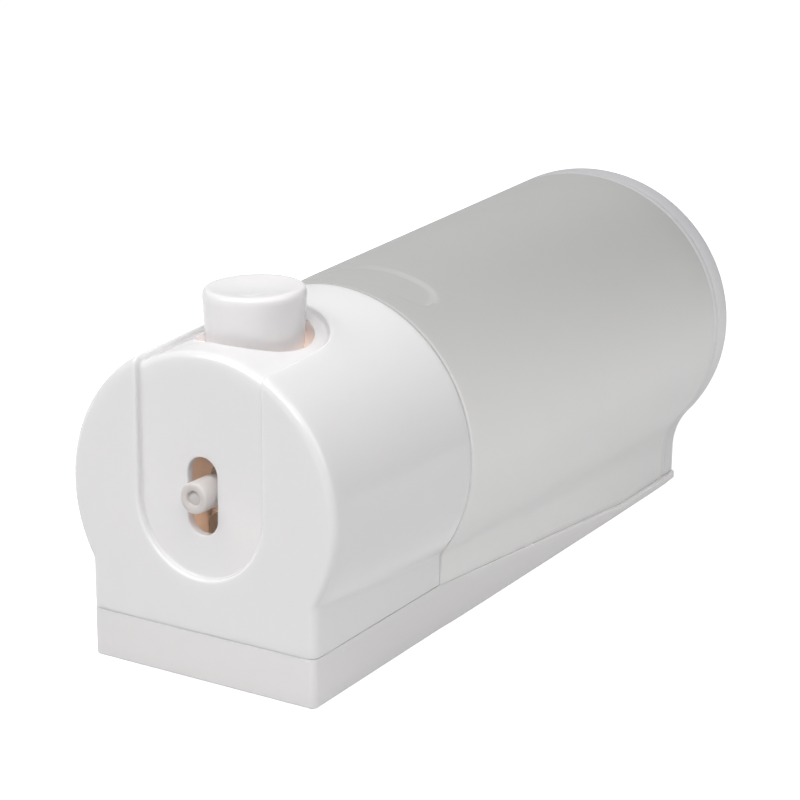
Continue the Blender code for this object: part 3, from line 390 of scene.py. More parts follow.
def moulded_plastic(
    name, swatch, gloss, wave, depth, inside=(0.0, 1.0), transmission=0.0, ior=1.53, upper=None
):
    """Plastic with a mean roughness, and waves with a length and a depth in millimetres.

    `inside` is the share of light that scatters under the skin, and how far it goes in millimetres.
    `upper` is painted shade: the darker tint it fades to between heights 40 and 84 mm, higher up
    where less light reaches. The roughness varies by 8 per cent round its mean, and the colour by 1
    per cent.
    """
    material, tree = new_material(name)
    place = add_node(tree, "ShaderNodeTexCoord").outputs["Object"]
    waves = add_node(
        tree, "ShaderNodeTexNoise", [("Scale", wave_scale(wave)), ("Detail", 2.0)], [("Vector", place)]
    )
    smears = add_node(
        tree,
        "ShaderNodeTexNoise",
        [("Scale", wave_scale(SMEAR)), ("Detail", 5.0)],
        [("Vector", place)],
    )
    dullness = add_node(
        tree,
        "ShaderNodeMapRange",
        [("From Min", 0.2), ("From Max", 0.8), ("To Min", gloss * 0.92), ("To Max", gloss * 1.08)],
        [("Value", smears.outputs["Fac"])],
    )
    pale = colour(swatch)
    tints = [("data_type", "RGBA"), (6, pale), (7, (*[0.99 * c for c in pale[:3]], 1.0))]
    shade = add_node(tree, "ShaderNodeMix", tints, [(0, smears.outputs["Fac"])]).outputs[2]
    # Painted shade: the colour fades to a darker tint higher up, where less light reaches.
    if upper:
        height = add_node(tree, "ShaderNodeSeparateXYZ", [], [("Vector", place)]).outputs["Z"]
        ends = [("From Min", PAINTED_SHADE_FROM * MM), ("From Max", PAINTED_SHADE_TO * MM)]
        ends += [("interpolation_type", "SMOOTHSTEP")]
        fade = add_node(tree, "ShaderNodeMapRange", ends, [("Value", height)]).outputs["Result"]
        tints = [("data_type", "RGBA"), (7, colour(upper))]
        shade = add_node(tree, "ShaderNodeMix", tints, [(0, fade), (6, shade)]).outputs[2]
    relief = add_node(
        tree,
        "ShaderNodeBump",
        [("Strength", 1.0), ("Distance", depth * MM)],
        [("Height", waves.outputs["Fac"])],
    )
    shader = add_node(
        tree,
        "ShaderNodeBsdfPrincipled",
        [
            ("IOR", ior),
            ("Subsurface Weight", inside[0]),
            ("Subsurface Radius", (1.0, 0.98, 0.95)),
            ("Subsurface Scale", inside[1] * MM),
            ("Transmission Weight", transmission),
        ],
        [
            ("Base Color", shade),
            ("Roughness", dullness.outputs["Result"]),
            ("Normal", relief.outputs["Normal"]),
        ],
    )
    add_node(tree, "ShaderNodeOutputMaterial", [], [("Surface", shader.outputs[0])])
    return material


gloss_abs = moulded_plastic("white ABS, polished mould", "#EAE9EA", 0.16, 6, 0.008, (0.9, 1.7))
button_abs = moulded_plastic("white ABS, button", "#ECEAEB", 0.12, 6, 0.006, (0.9, 1.7))
plate_abs = moulded_plastic("white ABS, wall plate", "#E7E5E5", 0.26, 7, 0.008, (0.9, 1.7))
print("made:", [finish.name for finish in (gloss_abs, button_abs, plate_abs)])

# %% [markdown]
# ## The outline of the body
#
# Across its length the dispenser has one outline, like a keyhole lying over the wall plate: a
# round barrel above, and a straight neck below, joined by a hollow fillet. Housing, bottle,
# gasket and lid all share it, and it swells evenly towards the lid. Each could be drawn as a
# curve of its own, but then they wouldn't quite line up. So it is one function of the place
# along the body and of how far the surface is drawn in.

# %% Sizes along the body
SEAM = 55.0
END = 200.0
NECK_HALF = 30.7
LID_NECK_HALF = 29.5
NECK_FILLET = 3.0
LID_FILLET = 19.0
LID_STRETCH = 1.055
FRONT_ROUND = 1.8
HOUSING_FOOT = 11.7
PLATE_HIGH = 11.6
PLATE_LOW = 2.2
WEDGE_END = 163
GRIP_Y = 68.2
GRIP_HALF = 6.5
GRIP_REACH = 14.5
GRIP_DEPTH = 0.8
FACET_SLACK = 0.03
ARC_POINTS = 96
BEND_POINTS = 14
WALL_POINTS = 6
CORNER_POINTS = 6


def radius_at(y):
    """Barrel radius: straight between 35.7 at the face, 38.7 at the seam and 42.2 at the end."""
    return np.interp(y, [0, SEAM, END], [35.7, 38.7, 42.2])


def centre_at(y):
    """Height of the barrel's centre: straight between 41.8, 43.0 and 49.0."""
    return np.interp(y, [0, SEAM, END], [41.8, 43.0, 49.0])


def plate_top_at(y):
    """Height of the plate's side walls: 11.6 up to the seam, then down to 2.2 at y 163."""
    return np.interp(y, [0, SEAM, WEDGE_END, END], [PLATE_HIGH, PLATE_HIGH, PLATE_LOW, PLATE_LOW])


def hollow_at(y, turn):
    """Depth of the bottle's grip: a bar with round ends, 42 mm round the barrel, 13 mm along.

    It is 0.8 mm deep. The distance to its edge becomes a depth by 3t^2 - 2t^3, over 0.7 mm on
    the near side and 1.6 mm on the far one, where the thumb slides out.
    """
    round_it = np.abs(turn) * radius_at(GRIP_Y)
    beyond = np.clip(round_it - GRIP_REACH, 0, None)
    edge = GRIP_HALF - np.hypot(beyond, y - GRIP_Y)
    t = np.clip(edge / np.interp(y, [65, 71], [0.7, 1.6]), 0, 1)
    return GRIP_DEPTH * t * t * (3 - 2 * t)


print("barrel radius at face, seam and end:", radius_at([0, SEAM, END]))

# %% [markdown]
# ## Half a keyhole
#
# The outline is drawn from the top of the barrel down to the foot in four parts: barrel, fillet,
# wall and corner. Joining a cylinder and a box with a Boolean would give nearly the same shape,
# but a grid needs rows with the same number of points, so each part has a fixed number.

# %% Draw the keyhole outline


def column(values):
    """Numbers as a column: one row for each."""
    return np.atleast_1d(np.asarray(values, float))[:, None]


def quarter_turn(points):
    """Angles from 0 to a quarter turn, in even steps."""
    return np.linspace(0, math.pi / 2, points)


def half_outline(y, inset, foot, corner=0.0, start=0.0, grip=False):
    """Right half of the outline, one row of points for each y, from x = start down to the foot.

    The barrel is a circle arc, the fillet a smaller arc that touches it and the neck's straight
    wall, and the foot's corner a quarter circle. All of it is stretched across towards the lid,
    and drawn in by 0.03 mm, because true arcs bulge a little past a model's flat facets.
    """
    values = (y, inset, foot, corner, start)
    y, inset, foot, corner, start = np.broadcast_arrays(*[column(value) for value in values])
    inset = inset + FACET_SLACK
    radius = radius_at(y) - inset
    centre = centre_at(y)
    stretch = np.interp(y, [SEAM, END], [1.0, LID_STRETCH])
    half = (np.interp(y, [SEAM, END], [NECK_HALF, LID_NECK_HALF]) - inset) / stretch
    fillet = np.interp(y, [SEAM, END], [NECK_FILLET, LID_FILLET]) + inset
    drop = np.sqrt((radius + fillet) ** 2 - (half + fillet) ** 2)
    meet = np.arctan2(half + fillet, -drop)
    first = np.arcsin(np.clip(start / stretch / radius, 0, 1))
    turn = first + (meet - first) * np.linspace(0, 1, ARC_POINTS)
    reach = radius - (hollow_at(y, turn) if grip else 0)
    arc = (reach * np.sin(turn), centre + reach * np.cos(turn))
    bend = (math.pi - meet) + (meet - math.pi / 2) * np.linspace(0, 1, BEND_POINTS + 1)[1:]
    hollow = (half + fillet - fillet * np.sin(bend), centre - drop + fillet * np.cos(bend))
    share = np.linspace(0, 1, WALL_POINTS + 1)[1:]
    wall_z = (centre - drop) * (1 - share) + (foot + corner) * share
    wall = (half + 0 * wall_z, wall_z)
    quarter = quarter_turn(CORNER_POINTS + 1)[1:]
    edge = (half - corner * (1 - np.cos(quarter)), foot + corner * (1 - np.sin(quarter)))
    x = np.concatenate([arc[0], hollow[0], wall[0], edge[0]], axis=1) * stretch
    z = np.concatenate([arc[1], hollow[1], wall[1], edge[1]], axis=1)
    return np.stack([x, y + 0 * x, z], axis=-1)


def whole_outline(y, inset, foot, corner=0.0, grip=False, foot_points=24):
    """The whole closed outline: right half, foot, left half, and back to the top."""
    right = half_outline(y, inset, foot, corner, grip=grip)
    share = np.linspace(0, 1, foot_points + 1)[1:-1, None]
    last = right[:, -1:, :]
    flip = np.array([-1.0, 1.0, 1.0])
    below = last * (1 - share) + last * flip * share
    return np.concatenate([right, below, right[:, ::-1] * flip], axis=1)


sample = half_outline([0, SEAM, END], 0, HOUSING_FOOT)
print("widths at face, seam and end:", (2 * sample[..., 0].max(axis=1)).round(2).tolist())

# %% [markdown]
# ## Rows between lines
#
# Two lines with as many points each are joined by straight rows, and an edge by rows that turn
# softly from one face to the next. The Bevel modifier could round the edges as well, but it
# needs even faces, and here every edge has its own radius.

# %% Join two lines


def between(first, last, steps):
    """Rows of points evenly between two lines of points, both included."""
    share = np.linspace(0, 1, steps + 1)[:, None, None]
    return first[None] * (1 - share) + last[None] * share


def rounded(start, corner, end, steps=6):
    """Rows of points over an edge: (1-t)^2 start + 2t(1-t) corner + t^2 end, a soft quarter turn."""
    t = np.linspace(0, 1, steps + 1)[:, None, None]
    return (1 - t) ** 2 * start[None] + 2 * t * (1 - t) * corner[None] + t**2 * end[None]


print("rows from face to seam in 4 steps:", len(between(sample[0], sample[1], 4)))

# %% [markdown]
# ## The housing's skin
#
# The housing is a shell with a U-shaped band sunk into it: down the face, over the front edge
# and round the button. It could be cut with Booleans, but the cuts leave thin triangles that
# shade badly on a gloss surface. Here the skin is laid out in panels whose borders follow the
# band, the slot and the button's well, so every edge gets an even rounding that catches light.
# The same function makes the outer skin and the inner one, a wall's thickness further in.

# %% Lines along the U
BUTTON_Y = 22.5
RECESS_HALF = 16.8
RECESS_DEPTH = 1.6
RECESS_CENTRE = 41.2
SLOT_HALF = 4.0
SLOT_LOW = 34.3
SLOT_HIGH = 52.4
WELL_RADIUS = 13.4
WELL_FLOOR = 60.0
HOUSING_WALL = 2.2
BAND_ARC = 76
BAND_UP = 52
BAND_BACK = 14
BAND_REAR = 34
RIM_POINTS = 18
EDGE_TURNS = quarter_turn(8)


def front_edge(inset):
    """(y, inset) over the rounded front edge of a skin: a quarter circle of 1.8 mm."""
    y = inset + FRONT_ROUND * (1 - np.cos(EDGE_TURNS))
    return y, inset + FRONT_ROUND * (1 - np.sin(EDGE_TURNS))


def top_height(x, y, inset):
    """Height of the barrel over x: centre + sqrt(radius^2 - x^2)."""
    return centre_at(y) + np.sqrt((radius_at(y) - inset - FACET_SLACK) ** 2 - x**2)


def band_line(half, inset):
    """The U at `half` from the middle: up the face, over the edge, back, and round the button."""
    turn = quarter_turn(BAND_ARC)
    face = [half * np.sin(turn), inset + 0 * turn, RECESS_CENTRE - half * np.cos(turn)]
    y, drawn = front_edge(inset)
    rim = [half + 0 * y, y, top_height(half, y, drawn)]
    z = np.linspace(RECESS_CENTRE, rim[2][0], BAND_UP)[1:]
    up = [half + 0 * z, inset + 0 * z, z]
    rim = [part[1:] for part in rim]
    y = np.linspace(inset + FRONT_ROUND, BUTTON_Y, BAND_BACK)[1:]
    back = [half + 0 * y, y, top_height(half, y, inset)]
    turn = quarter_turn(BAND_REAR)[1:]
    x, y = half * np.cos(turn), BUTTON_Y + half * np.sin(turn)
    x[-1] = 0
    rear = [x, y, top_height(x, y, inset)]
    return np.concatenate([np.stack(part, axis=-1) for part in (face, up, rim, back, rear)])


FACE_COUNT = BAND_ARC + BAND_UP - 1
RIM_COUNT = FACE_COUNT + len(EDGE_TURNS) - 1
print("points up the face:", FACE_COUNT, "and over the front edge:", RIM_COUNT - FACE_COUNT)

# %% [markdown]
# ## The skin outside the U
#
# Behind the U the skin is the keyhole outline, row by row, and each row begins at the U's border.
# In front it is flat, between that border and the rim. Cutting the U out of a finished skin
# would leave a ragged border, so the rows simply start where the U ends.

# %% Lay the skin outside the U


def seam_edge(inset, end, rounding):
    """(y, inset) over the small rounding at the seam: a quarter circle."""
    turn = quarter_turn(6)
    return end - rounding + rounding * np.sin(turn), inset + rounding * (1 - np.cos(turn))


def outer_panels(inset, start, end, corner, seam_round):
    """Barrel side, rim and face outside the U, for the skin drawn in by the inset."""
    line = band_line(start, inset)
    y_edge, inset_edge = front_edge(inset)
    y_seam, inset_seam = seam_edge(inset, end, seam_round)
    behind = np.linspace(BUTTON_Y + start, y_seam[0], 9)[1:]
    along = line[RIM_COUNT:]
    y = np.concatenate([y_edge, along[:, 1], behind, y_seam[1:]])
    drawn = np.concatenate([inset_edge, inset + 0 * along[:, 1], inset + 0 * behind, inset_seam[1:]])
    begin = np.concatenate([start + 0 * y_edge, along[:, 0], 0 * behind, 0 * y_seam[1:]])
    side = half_outline(y, drawn, HOUSING_FOOT, corner, begin)
    foot = between(side[0, -1], side[0, -1] * np.array([0, 1, 1]), FACE_COUNT - side.shape[1])[1:]
    rim = np.concatenate([side[0], foot.reshape(-1, 3)])
    face = between(line[:FACE_COUNT][::-1], rim, 10)
    foot_line = np.concatenate([rim[side.shape[1] - 1 :][::-1], side[1:, -1]])
    return [side, face], foot_line, side[-1]


print("points over the seam's edge:", len(seam_edge(0, SEAM, 0.1)[0]))

# %% [markdown]
# ## The floor of the U
#
# The band's floor has two holes: the slot for the nozzle tube, and the button's well. Each hole
# gets as many points as the border round it, so that straight rows join the two, and nothing has
# to be cut. The wall between skin and floor is one more strip, soft above and below.

# %% Lay the floor and the wall of the U


def stadium(spread, y, count):
    """Half of the slot's outline, `spread` from its middle line, from the lowest point up."""
    arc = count // 3
    turn = quarter_turn(arc)
    low = [spread * np.sin(turn), SLOT_LOW + SLOT_HALF - spread * np.cos(turn)]
    z = np.linspace(SLOT_LOW + SLOT_HALF, SLOT_HIGH - SLOT_HALF, count - 2 * arc + 2)[1:-1]
    turn = turn[::-1]
    high = [spread * np.sin(turn), SLOT_HIGH - SLOT_HALF + spread * np.cos(turn)]
    x = np.concatenate([low[0], spread + 0 * z, high[0]])
    z = np.concatenate([low[1], z, high[1]])
    return np.stack([x, y + 0 * x, z], axis=-1)


def plan_ring(radius, y, z, turn):
    """A ring seen from above: x = r sin a, y less r cos a, with one point for each turn a."""
    return np.stack([radius * np.sin(turn), y - radius * np.cos(turn), z + 0 * turn], axis=-1)


def floor_panels(inset, start, slot_spread, well):
    """The U's floor: the face with the slot's hole, the rim, and the top with the well's hole."""
    line = band_line(start, inset)
    y_edge, inset_edge = front_edge(inset)
    x = start * np.linspace(1, 0, RIM_POINTS)
    rim_x, rim_y = np.broadcast_arrays(x[None], y_edge[:, None])
    rim_z = top_height(rim_x, rim_y, inset_edge[:, None])
    rim = np.stack([rim_x, rim_y, rim_z], axis=-1)
    around = np.concatenate([line[:FACE_COUNT], rim[0, 1:]])
    slot = stadium(slot_spread, inset, len(around))
    face = between(slot, around, 8)
    border = np.concatenate([rim[-1, ::-1], line[RIM_COUNT:]])
    turn = np.arctan2(border[:, 0], BUTTON_Y - border[:, 1])
    turn[0], turn[-1] = 0, math.pi
    top = between(plan_ring(well, BUTTON_Y, 0, turn), border, 6)
    top[..., 2] = top_height(top[..., 0], top[..., 1], inset)
    return [face, rim, top], slot, top[0], turn


def band_wall(inset, half, outer_round, inner_round):
    """The U's side wall between the skin and the floor, with a soft edge above and below."""
    top, floor = band_line(half, inset), band_line(half, inset + RECESS_DEPTH)
    reach = np.linalg.norm(floor - top, axis=1, keepdims=True)
    above = top + (floor - top) * outer_round / reach
    below = floor - (floor - top) * inner_round / reach
    upper = rounded(band_line(half + outer_round, inset), top, above)
    lower = rounded(below, floor, band_line(half - inner_round, inset + RECESS_DEPTH))
    return [np.concatenate([upper, lower])]


print("points round half the slot:", len(stadium(SLOT_HALF, 0, FACE_COUNT)))

# %% [markdown]
# ## The housing
#
# Both skins are now joined by four narrow strips: the slot's wall, the button's well, the foot
# that stands over the wall plate, and the edge at the bottle's seam. That closes the housing
# into one hollow moulding of even thickness, where a Solidify modifier would make the well's
# wall cross itself. Four bosses take the screws from below.

# %% Sew the housing
EDGE_OUT = 0.8
EDGE_IN = 0.75
INNER_EDGE = 0.3
WELL_EDGE = 0.4
WELL_CORNER = 0.6
WELL_HOLE = 4.5
WELL_WALL = 1.6
WELL_BASE = 2
SLOT_EDGE = 0.35
FOOT_CORNER = 0.4
SEAM_ROUND = 0.15
INNER_CORNER = 0.1
HOUSING_END = SEAM - 0.35
INNER_HALF = RECESS_HALF + HOUSING_WALL
INNER = HOUSING_WALL + RECESS_DEPTH
WELL_OUTER = WELL_RADIUS + WELL_WALL


def well_ring(radius, z, turn):
    """A ring round the button's axis."""
    return plan_ring(radius, BUTTON_Y, z, turn)


outer, outer_foot, outer_seam = outer_panels(
    0, RECESS_HALF + EDGE_OUT, HOUSING_END, FOOT_CORNER, SEAM_ROUND
)
inner, inner_foot, inner_seam = outer_panels(
    HOUSING_WALL, INNER_HALF + INNER_EDGE, HOUSING_END, INNER_CORNER, INNER_CORNER
)
floor_outer, slot_outer, well_top, turns = floor_panels(
    RECESS_DEPTH, RECESS_HALF - EDGE_IN, SLOT_HALF + SLOT_EDGE, WELL_RADIUS + WELL_EDGE
)
floor_inner, _, _, turns_under = floor_panels(
    INNER, INNER_HALF - INNER_EDGE, SLOT_HALF, WELL_OUTER
)
grids = outer + inner + floor_outer + floor_inner
grids += band_wall(0, RECESS_HALF, EDGE_OUT, EDGE_IN)
grids += band_wall(HOUSING_WALL, INNER_HALF, INNER_EDGE, INNER_EDGE)
grids += [between(outer_foot, inner_foot, 2), between(outer_seam, inner_seam, 2)]

slot_corner = stadium(SLOT_HALF, RECESS_DEPTH, len(slot_outer))
slot_wall = stadium(SLOT_HALF, RECESS_DEPTH + SLOT_EDGE, len(slot_outer))
slot_back = stadium(SLOT_HALF, INNER, len(slot_outer))
grids += [rounded(slot_outer, slot_corner, slot_wall), between(slot_wall, slot_back, 3)]

at_wall = well_ring(WELL_RADIUS, 0, turns)
at_wall[:, 2] = top_height(at_wall[:, 0], at_wall[:, 1], RECESS_DEPTH)
down = at_wall - np.array([0, 0, WELL_EDGE])
grids += [rounded(well_top, at_wall, down)]
rings = [
    down,
    well_ring(WELL_RADIUS, WELL_FLOOR + WELL_CORNER, turns),
    well_ring(WELL_RADIUS - WELL_CORNER, WELL_FLOOR, turns),
    well_ring(WELL_HOLE, WELL_FLOOR, turns),
    well_ring(WELL_HOLE, WELL_FLOOR - WELL_BASE, turns),
    well_ring(WELL_OUTER, WELL_FLOOR - WELL_BASE, turns_under),
    well_ring(WELL_OUTER, 0, turns_under),
]
rings[-1][:, 2] = top_height(rings[-1][:, 0], rings[-1][:, 1], INNER)
grids += [np.stack(rings)]
print("points round the well:", len(turns), "above and", len(turns_under), "below")


def lathe(profile, centre, axis, steps=96):
    """(radius, height) points round an axis: x = r cos a, y = r sin a, and the height along it."""
    radius, height = np.array(profile, float).T
    angle = np.linspace(0, 2 * math.pi, steps + 1)
    across, over = np.outer(radius, np.cos(angle)), np.outer(radius, np.sin(angle))
    along = height[:, None] + 0 * across
    order = [across, over, along] if axis == "z" else [across, along, over]
    return np.stack(order, axis=-1) + np.array(centre, float)


def quarter(centre, radius, first, last, steps=6):
    """Points (r, z) on a circle arc about a centre, from one angle in degrees to another."""
    angle = np.radians(np.linspace(first, last, steps + 1))
    return [(centre[0] + radius * math.cos(a), centre[1] + radius * math.sin(a)) for a in angle]


boss = [(4, 14.5), (4, 24), (1.75, 24), (1.75, 14.5), (4, 14.5)]
bosses = [lathe(boss, (x, y, 0), "z", 24) for x in (-25.1, 25.1) for y in (8, 46)]
piece("housing_shell", mirrored(grids) + bosses, gloss_abs, "dispenser", "pump_housing")

# %% [markdown]
# ## The wall plate
#
# The plate is a tray that stays screwed to the wall. Its side walls are level under the housing
# and run down to a thin sheet under the bottle. One path runs round its edge, and every height
# on it is a row of points drawn in from that path: bottom edge, wall, rim, the tray's wall and
# its floor. It could be a solidified sheet, but the wedge would then lose its sharp line.

# %% Paths round the wall plate
PLATE_HALF = 30.5
PLATE_CORNER = 1.5
FOOT_ROUND = 0.5
TOP_ROUND = 0.2
TRAY_HALF = 28.3
TRAY_FRONT = 2.2
TRAY_END = 150.0
TRAY_CORNER = 1.4
TRAY_FLOOR = 2.2
TRAY_ROUND = 0.3
FLOOR_SPLIT = 102.0
REAR_START = 148.4
SCREW_PLACES = (66.0, 138.0)
SCREW_HOLE = 2.3
SCREW_SINK = 4.4


def plan_path(inset, half, front, end, corner):
    """Right half of a rounded rectangle in plan, drawn in by the inset, from front to far end."""
    half, front, end, corner = half - inset, front + inset, end - inset, corner - inset
    turn = quarter_turn(7)
    across = np.linspace(0, half - corner, 9)
    first = [across, front + 0 * across]
    bend = [half - corner + corner * np.sin(turn), front + corner - corner * np.cos(turn)]
    stops = [(front + corner, SEAM, 9), (SEAM, FLOOR_SPLIT, 7), (FLOOR_SPLIT, REAR_START, 7)]
    stops += [(REAR_START, end - corner, 10)]
    side = np.concatenate([np.linspace(*stop)[1:] for stop in stops])
    back = [half - corner + corner * np.cos(turn), end - corner + corner * np.sin(turn)]
    x = np.concatenate([first[0], bend[0][1:], half + 0 * side, back[0][1:], across[::-1][1:]])
    y = np.concatenate([first[1], bend[1][1:], side, back[1][1:], end + 0 * across[1:]])
    return np.stack([x, y], axis=-1)


def plate_row(path, z):
    """A path in plan as a row of points at a height."""
    return np.stack([path[:, 0], path[:, 1], z + 0 * path[:, 0]], axis=-1)


def edge_row(inset, z):
    """The plate's outer edge drawn in by the inset, at a height."""
    return plate_row(plan_path(inset, PLATE_HALF, 0, END, PLATE_CORNER), z)


def tray_row(inset, z):
    """The tray's wall drawn in by the inset, at a height."""
    return plate_row(plan_path(inset, TRAY_HALF, TRAY_FRONT, TRAY_END, TRAY_CORNER), z)


print("points round half the plate:", len(edge_row(0, 0)))

# %% [markdown]
# ## The plate's surface
#
# The rows are now stacked from the foot up, over the rim and down into the tray. The floor
# and the base are flat, with a countersunk screw hole in each half. They are patches of rows
# between the hole and the border, because a Boolean would leave thin triangles round the holes.

# %% Sew the plate


def patches(border, radius):
    """Flat patches between a border and two round holes on the middle line, split at y 102."""
    split = int(np.argmin(np.abs(border[:, 1] - FLOOR_SPLIT) + 1000 * (border[:, 0] < 20)))
    across = np.linspace(border[split, 0], 0, 9)[1:]
    line = np.stack([across, FLOOR_SPLIT + 0 * across, border[0, 2] + 0 * across], axis=-1)
    parts = [np.concatenate([border[: split + 1], line])]
    parts += [np.concatenate([line[::-1], border[split:]])]
    grids, rings = [], []
    for part, y in zip(parts, SCREW_PLACES):
        turn = np.arctan2(part[:, 0], y - part[:, 1])
        turn[0], turn[-1] = 0, math.pi
        grids.append(between(plan_ring(radius, y, part[:, 2], turn), part, 5))
        rings.append((turn, y))
    return grids, rings


def widened(grid):
    """The plate's side stays a hair outside the bottle's foot, which widens: x times 1 + a share."""
    places = [0, SEAM, 65, 110, 150, 190, END]
    shares = [0.002, 0.004, 0.0141, 0.019, 0.0226, 0.0160, -0.004]
    share = np.interp(grid[..., 1:2], places, shares)
    return grid * (1 + share * np.array([1, 0, 0]))


turn = quarter_turn(6)
rows = [edge_row(FOOT_ROUND * (1 - math.sin(t)), FOOT_ROUND * (1 - math.cos(t))) for t in turn]
path = plan_path(0, PLATE_HALF, 0, END, PLATE_CORNER)
top = plate_top_at(path[:, 1])
rows += [plate_row(path, FOOT_ROUND * (1 - s) + (top - TOP_ROUND) * s) for s in (0.35, 0.7, 1.0)]
for t in turn[1:]:
    drawn = edge_row(TOP_ROUND * (1 - math.cos(t)), 0)
    drawn[:, 2] = plate_top_at(drawn[:, 1]) - TOP_ROUND * (1 - math.sin(t))
    rows.append(drawn)
plate_top = between(rows[-1], tray_row(-TRAY_ROUND, 0), 8)
plate_top[..., 2] = plate_top_at(plate_top[..., 1])
inside = [plate_top[-1]]
for t in turn[1:]:
    drawn = tray_row(-TRAY_ROUND * (1 - math.sin(t)), 0)
    drawn[:, 2] = plate_top_at(drawn[:, 1]) - TRAY_ROUND * (1 - math.cos(t))
    inside.append(drawn)
for t in turn:
    low = TRAY_FLOOR + TRAY_ROUND * (1 - math.sin(t))
    inside.append(tray_row(TRAY_ROUND * (1 - math.cos(t)), low))
floor_grids, floor_rings = patches(inside[-1], SCREW_SINK)
base_grids, base_rings = patches(rows[0], SCREW_HOLE)
plate_grids = [np.stack(rows), plate_top, np.stack(inside), *floor_grids, *base_grids]
for (turn_above, y), (turn_below, _) in zip(floor_rings, base_rings):
    steps = [(SCREW_SINK, TRAY_FLOOR, turn_above), (SCREW_SINK, 2.0, turn_above)]
    steps += [(SCREW_HOLE, 0.8, turn_above), (SCREW_HOLE, 0.0, turn_below)]
    plate_grids.append(np.stack([plan_ring(r, y, z, a) for r, z, a in steps]))
print("floor and base turns:", [len(a[0]) for a in floor_rings], [len(a[0]) for a in base_rings])

# %% [markdown]
# ## The rails
#
# Two pairs of rails stand on the tray's floor, with a stop in front of each pair. Their arms
# reach over the dispenser's lugs, which slide under them. An extruded curve would need its ends
# filled, so a bar is drawn between two lines, carried along, and capped.

# %% Set the rails on the plate


def bar(low_line, high_line, y_rows):
    """A closed bar between two lines of (x, z) points, carried along y and capped at both ends."""
    low, high = np.array(low_line, float), np.array(high_line, float)
    x, z = np.concatenate([low, high[::-1], low[:1]]).T
    y = np.array(y_rows, float)[:, None]
    sides = np.stack([x + 0 * y, y + 0 * x, z + 0 * y], axis=-1)
    caps = []
    for end in (y_rows[0], y_rows[-1]):
        ends = [np.insert(line, 1, end, axis=1) for line in (low, high)]
        caps.append(between(ends[0], ends[1], 1))
    return [sides, *caps]


rails = []
for start in (30.0, 84.0):
    hook_low = [(9.3, 2.1), (9.3, 5.3), (5.3, 5.3)]
    hook_high = [(11.3, 2.1), (11.3, 7.0), (5.3, 7.0)]
    rails += mirrored(bar(hook_low, hook_high, (start - 0.4, start + 12)))
    stop_low, stop_high = [(-11.2, 2.1), (11.2, 2.1)], [(-11.2, 6.9), (11.2, 6.9)]
    rails += bar(stop_low, stop_high, (start - 2.3, start - 0.3))
plate_grids = [widened(grid) for grid in mirrored(plate_grids)]
piece("plate_tray", plate_grids + rails, plate_abs, "plate", "wall_plate")

# %% [markdown]
# ## The button
#
# The button is a round cap with a wide rounded rim and a dished top that fits a fingertip. It
# could be a squashed ball, but its rim needs an even roll all round. So its profile is drawn
# once, from the middle of the dish over the rim, down the side, and back up inside, and carried
# round its axis. Then the outside is slanted down towards the face by 5 per cent, as in the
# photograph, by a shear that fades out down the side.

# %% Turn the button
RIM_RADIUS = 10.65
BUTTON_TOP = 87.2
BUTTON_INSIDE = 85.0
DISH_DEPTH = 1.2
RIM_WIDTH = 1.15
RIM_HEIGHT = 2.0
SLANT = 0.05
SLANT_FROM = 73
SLANT_FADE = 12
share = np.linspace(0, 1, 21)
dish = [(RIM_RADIUS * s, BUTTON_TOP - DISH_DEPTH * (1 - s**2) ** 1.5) for s in share]
roll = quarter((0, 0), 1, 90, 0, 12)[1:]
over = [(RIM_RADIUS + RIM_WIDTH * r, BUTTON_TOP - RIM_HEIGHT * (1 - z)) for r, z in roll]
side = [(11.3, 77), (11.12, 70.3)] + quarter((10.82, 70.3), 0.3, 0, -90, 4) + [(9.6, 70.0)]
under = [(9.6, BUTTON_INSIDE), (6.2, BUTTON_INSIDE), (6.2, 73.0), (4.5, 73.0)]
under += [(4.5, BUTTON_INSIDE), (0, BUTTON_INSIDE)]
cap = lathe(dish + over + side + under, (0, BUTTON_Y, 0), "z", 128)
outside = cap[: len(dish) + len(over) + 1]
fade = np.clip((outside[..., 2] - SLANT_FROM) / SLANT_FADE, 0, 1)
outside[..., 2] += SLANT * (outside[..., 1] - BUTTON_Y) * fade
piece("button_cap", [cap], button_abs, "press", "button")

# %% [markdown]
# ## Silicone
#
# The nozzle tube and the lid's gasket are milky silicone, with a dull skin that light sinks into.
# A see-through shader would show too much of what lies behind. Scattering under the skin gives
# the waxy depth, and the tube has only a trace of transmission. The gasket gets the same painted
# shade as the bottle: its colour is darker towards the top. Silicone's IOR is 1.41.

# %% Milky silicone
tube_silicone = moulded_plastic(
    "milky silicone, extruded", "#D9D4D2", 0.36, 3, 0.01, (0.9, 1.6), 0.05, 1.41
)
# The gasket's last colour is painted shade, darker towards the top.
gasket_silicone = moulded_plastic(
    "milky silicone, band", "#F6F5F6", 0.45, 3, 0.01, (0.3, 1.5), 0.0, 1.41, "#C6C5C7"
)
print("made:", [finish.name for finish in (tube_silicone, gasket_silicone)])

# %% [markdown]
# ## The bottle's plastic
#
# The bottle is blown from natural polypropylene, IOR 1.49, and frosted by a blasted mould. Light
# scatters on its way in and out, so it reads as an even grey with a satin skin, and nothing
# inside can be made out. A see-through wall would be slow to render and hardly look different.
# So light and shade are painted into the plastic's colour: pale near the bright floor as painted
# light, fading to a painted grey shade towards the top, as light that comes up through the wall
# does. The grain of the blasting is about 0.3 mm, drawn at 0.6 mm so that it can show at all.

# %% Frosted polypropylene
# The pale swatch is painted light from the floor below, and the last colour is painted shade towards
# the top.
frosted = moulded_plastic(
    "frosted polypropylene, bottle", "#F8F7F6", 0.5, 0.6, 0.008, (0.2, 2), 0.0, 1.49, "#B2B2B1"
)
frosted_lid = moulded_plastic(
    "frosted polypropylene, lid", "#F6F5F6", 0.5, 0.6, 0.008, (0.2, 2), 0.0, 1.49, "#BEBDC0"
)
print("made:", [finish.name for finish in (frosted, frosted_lid)])

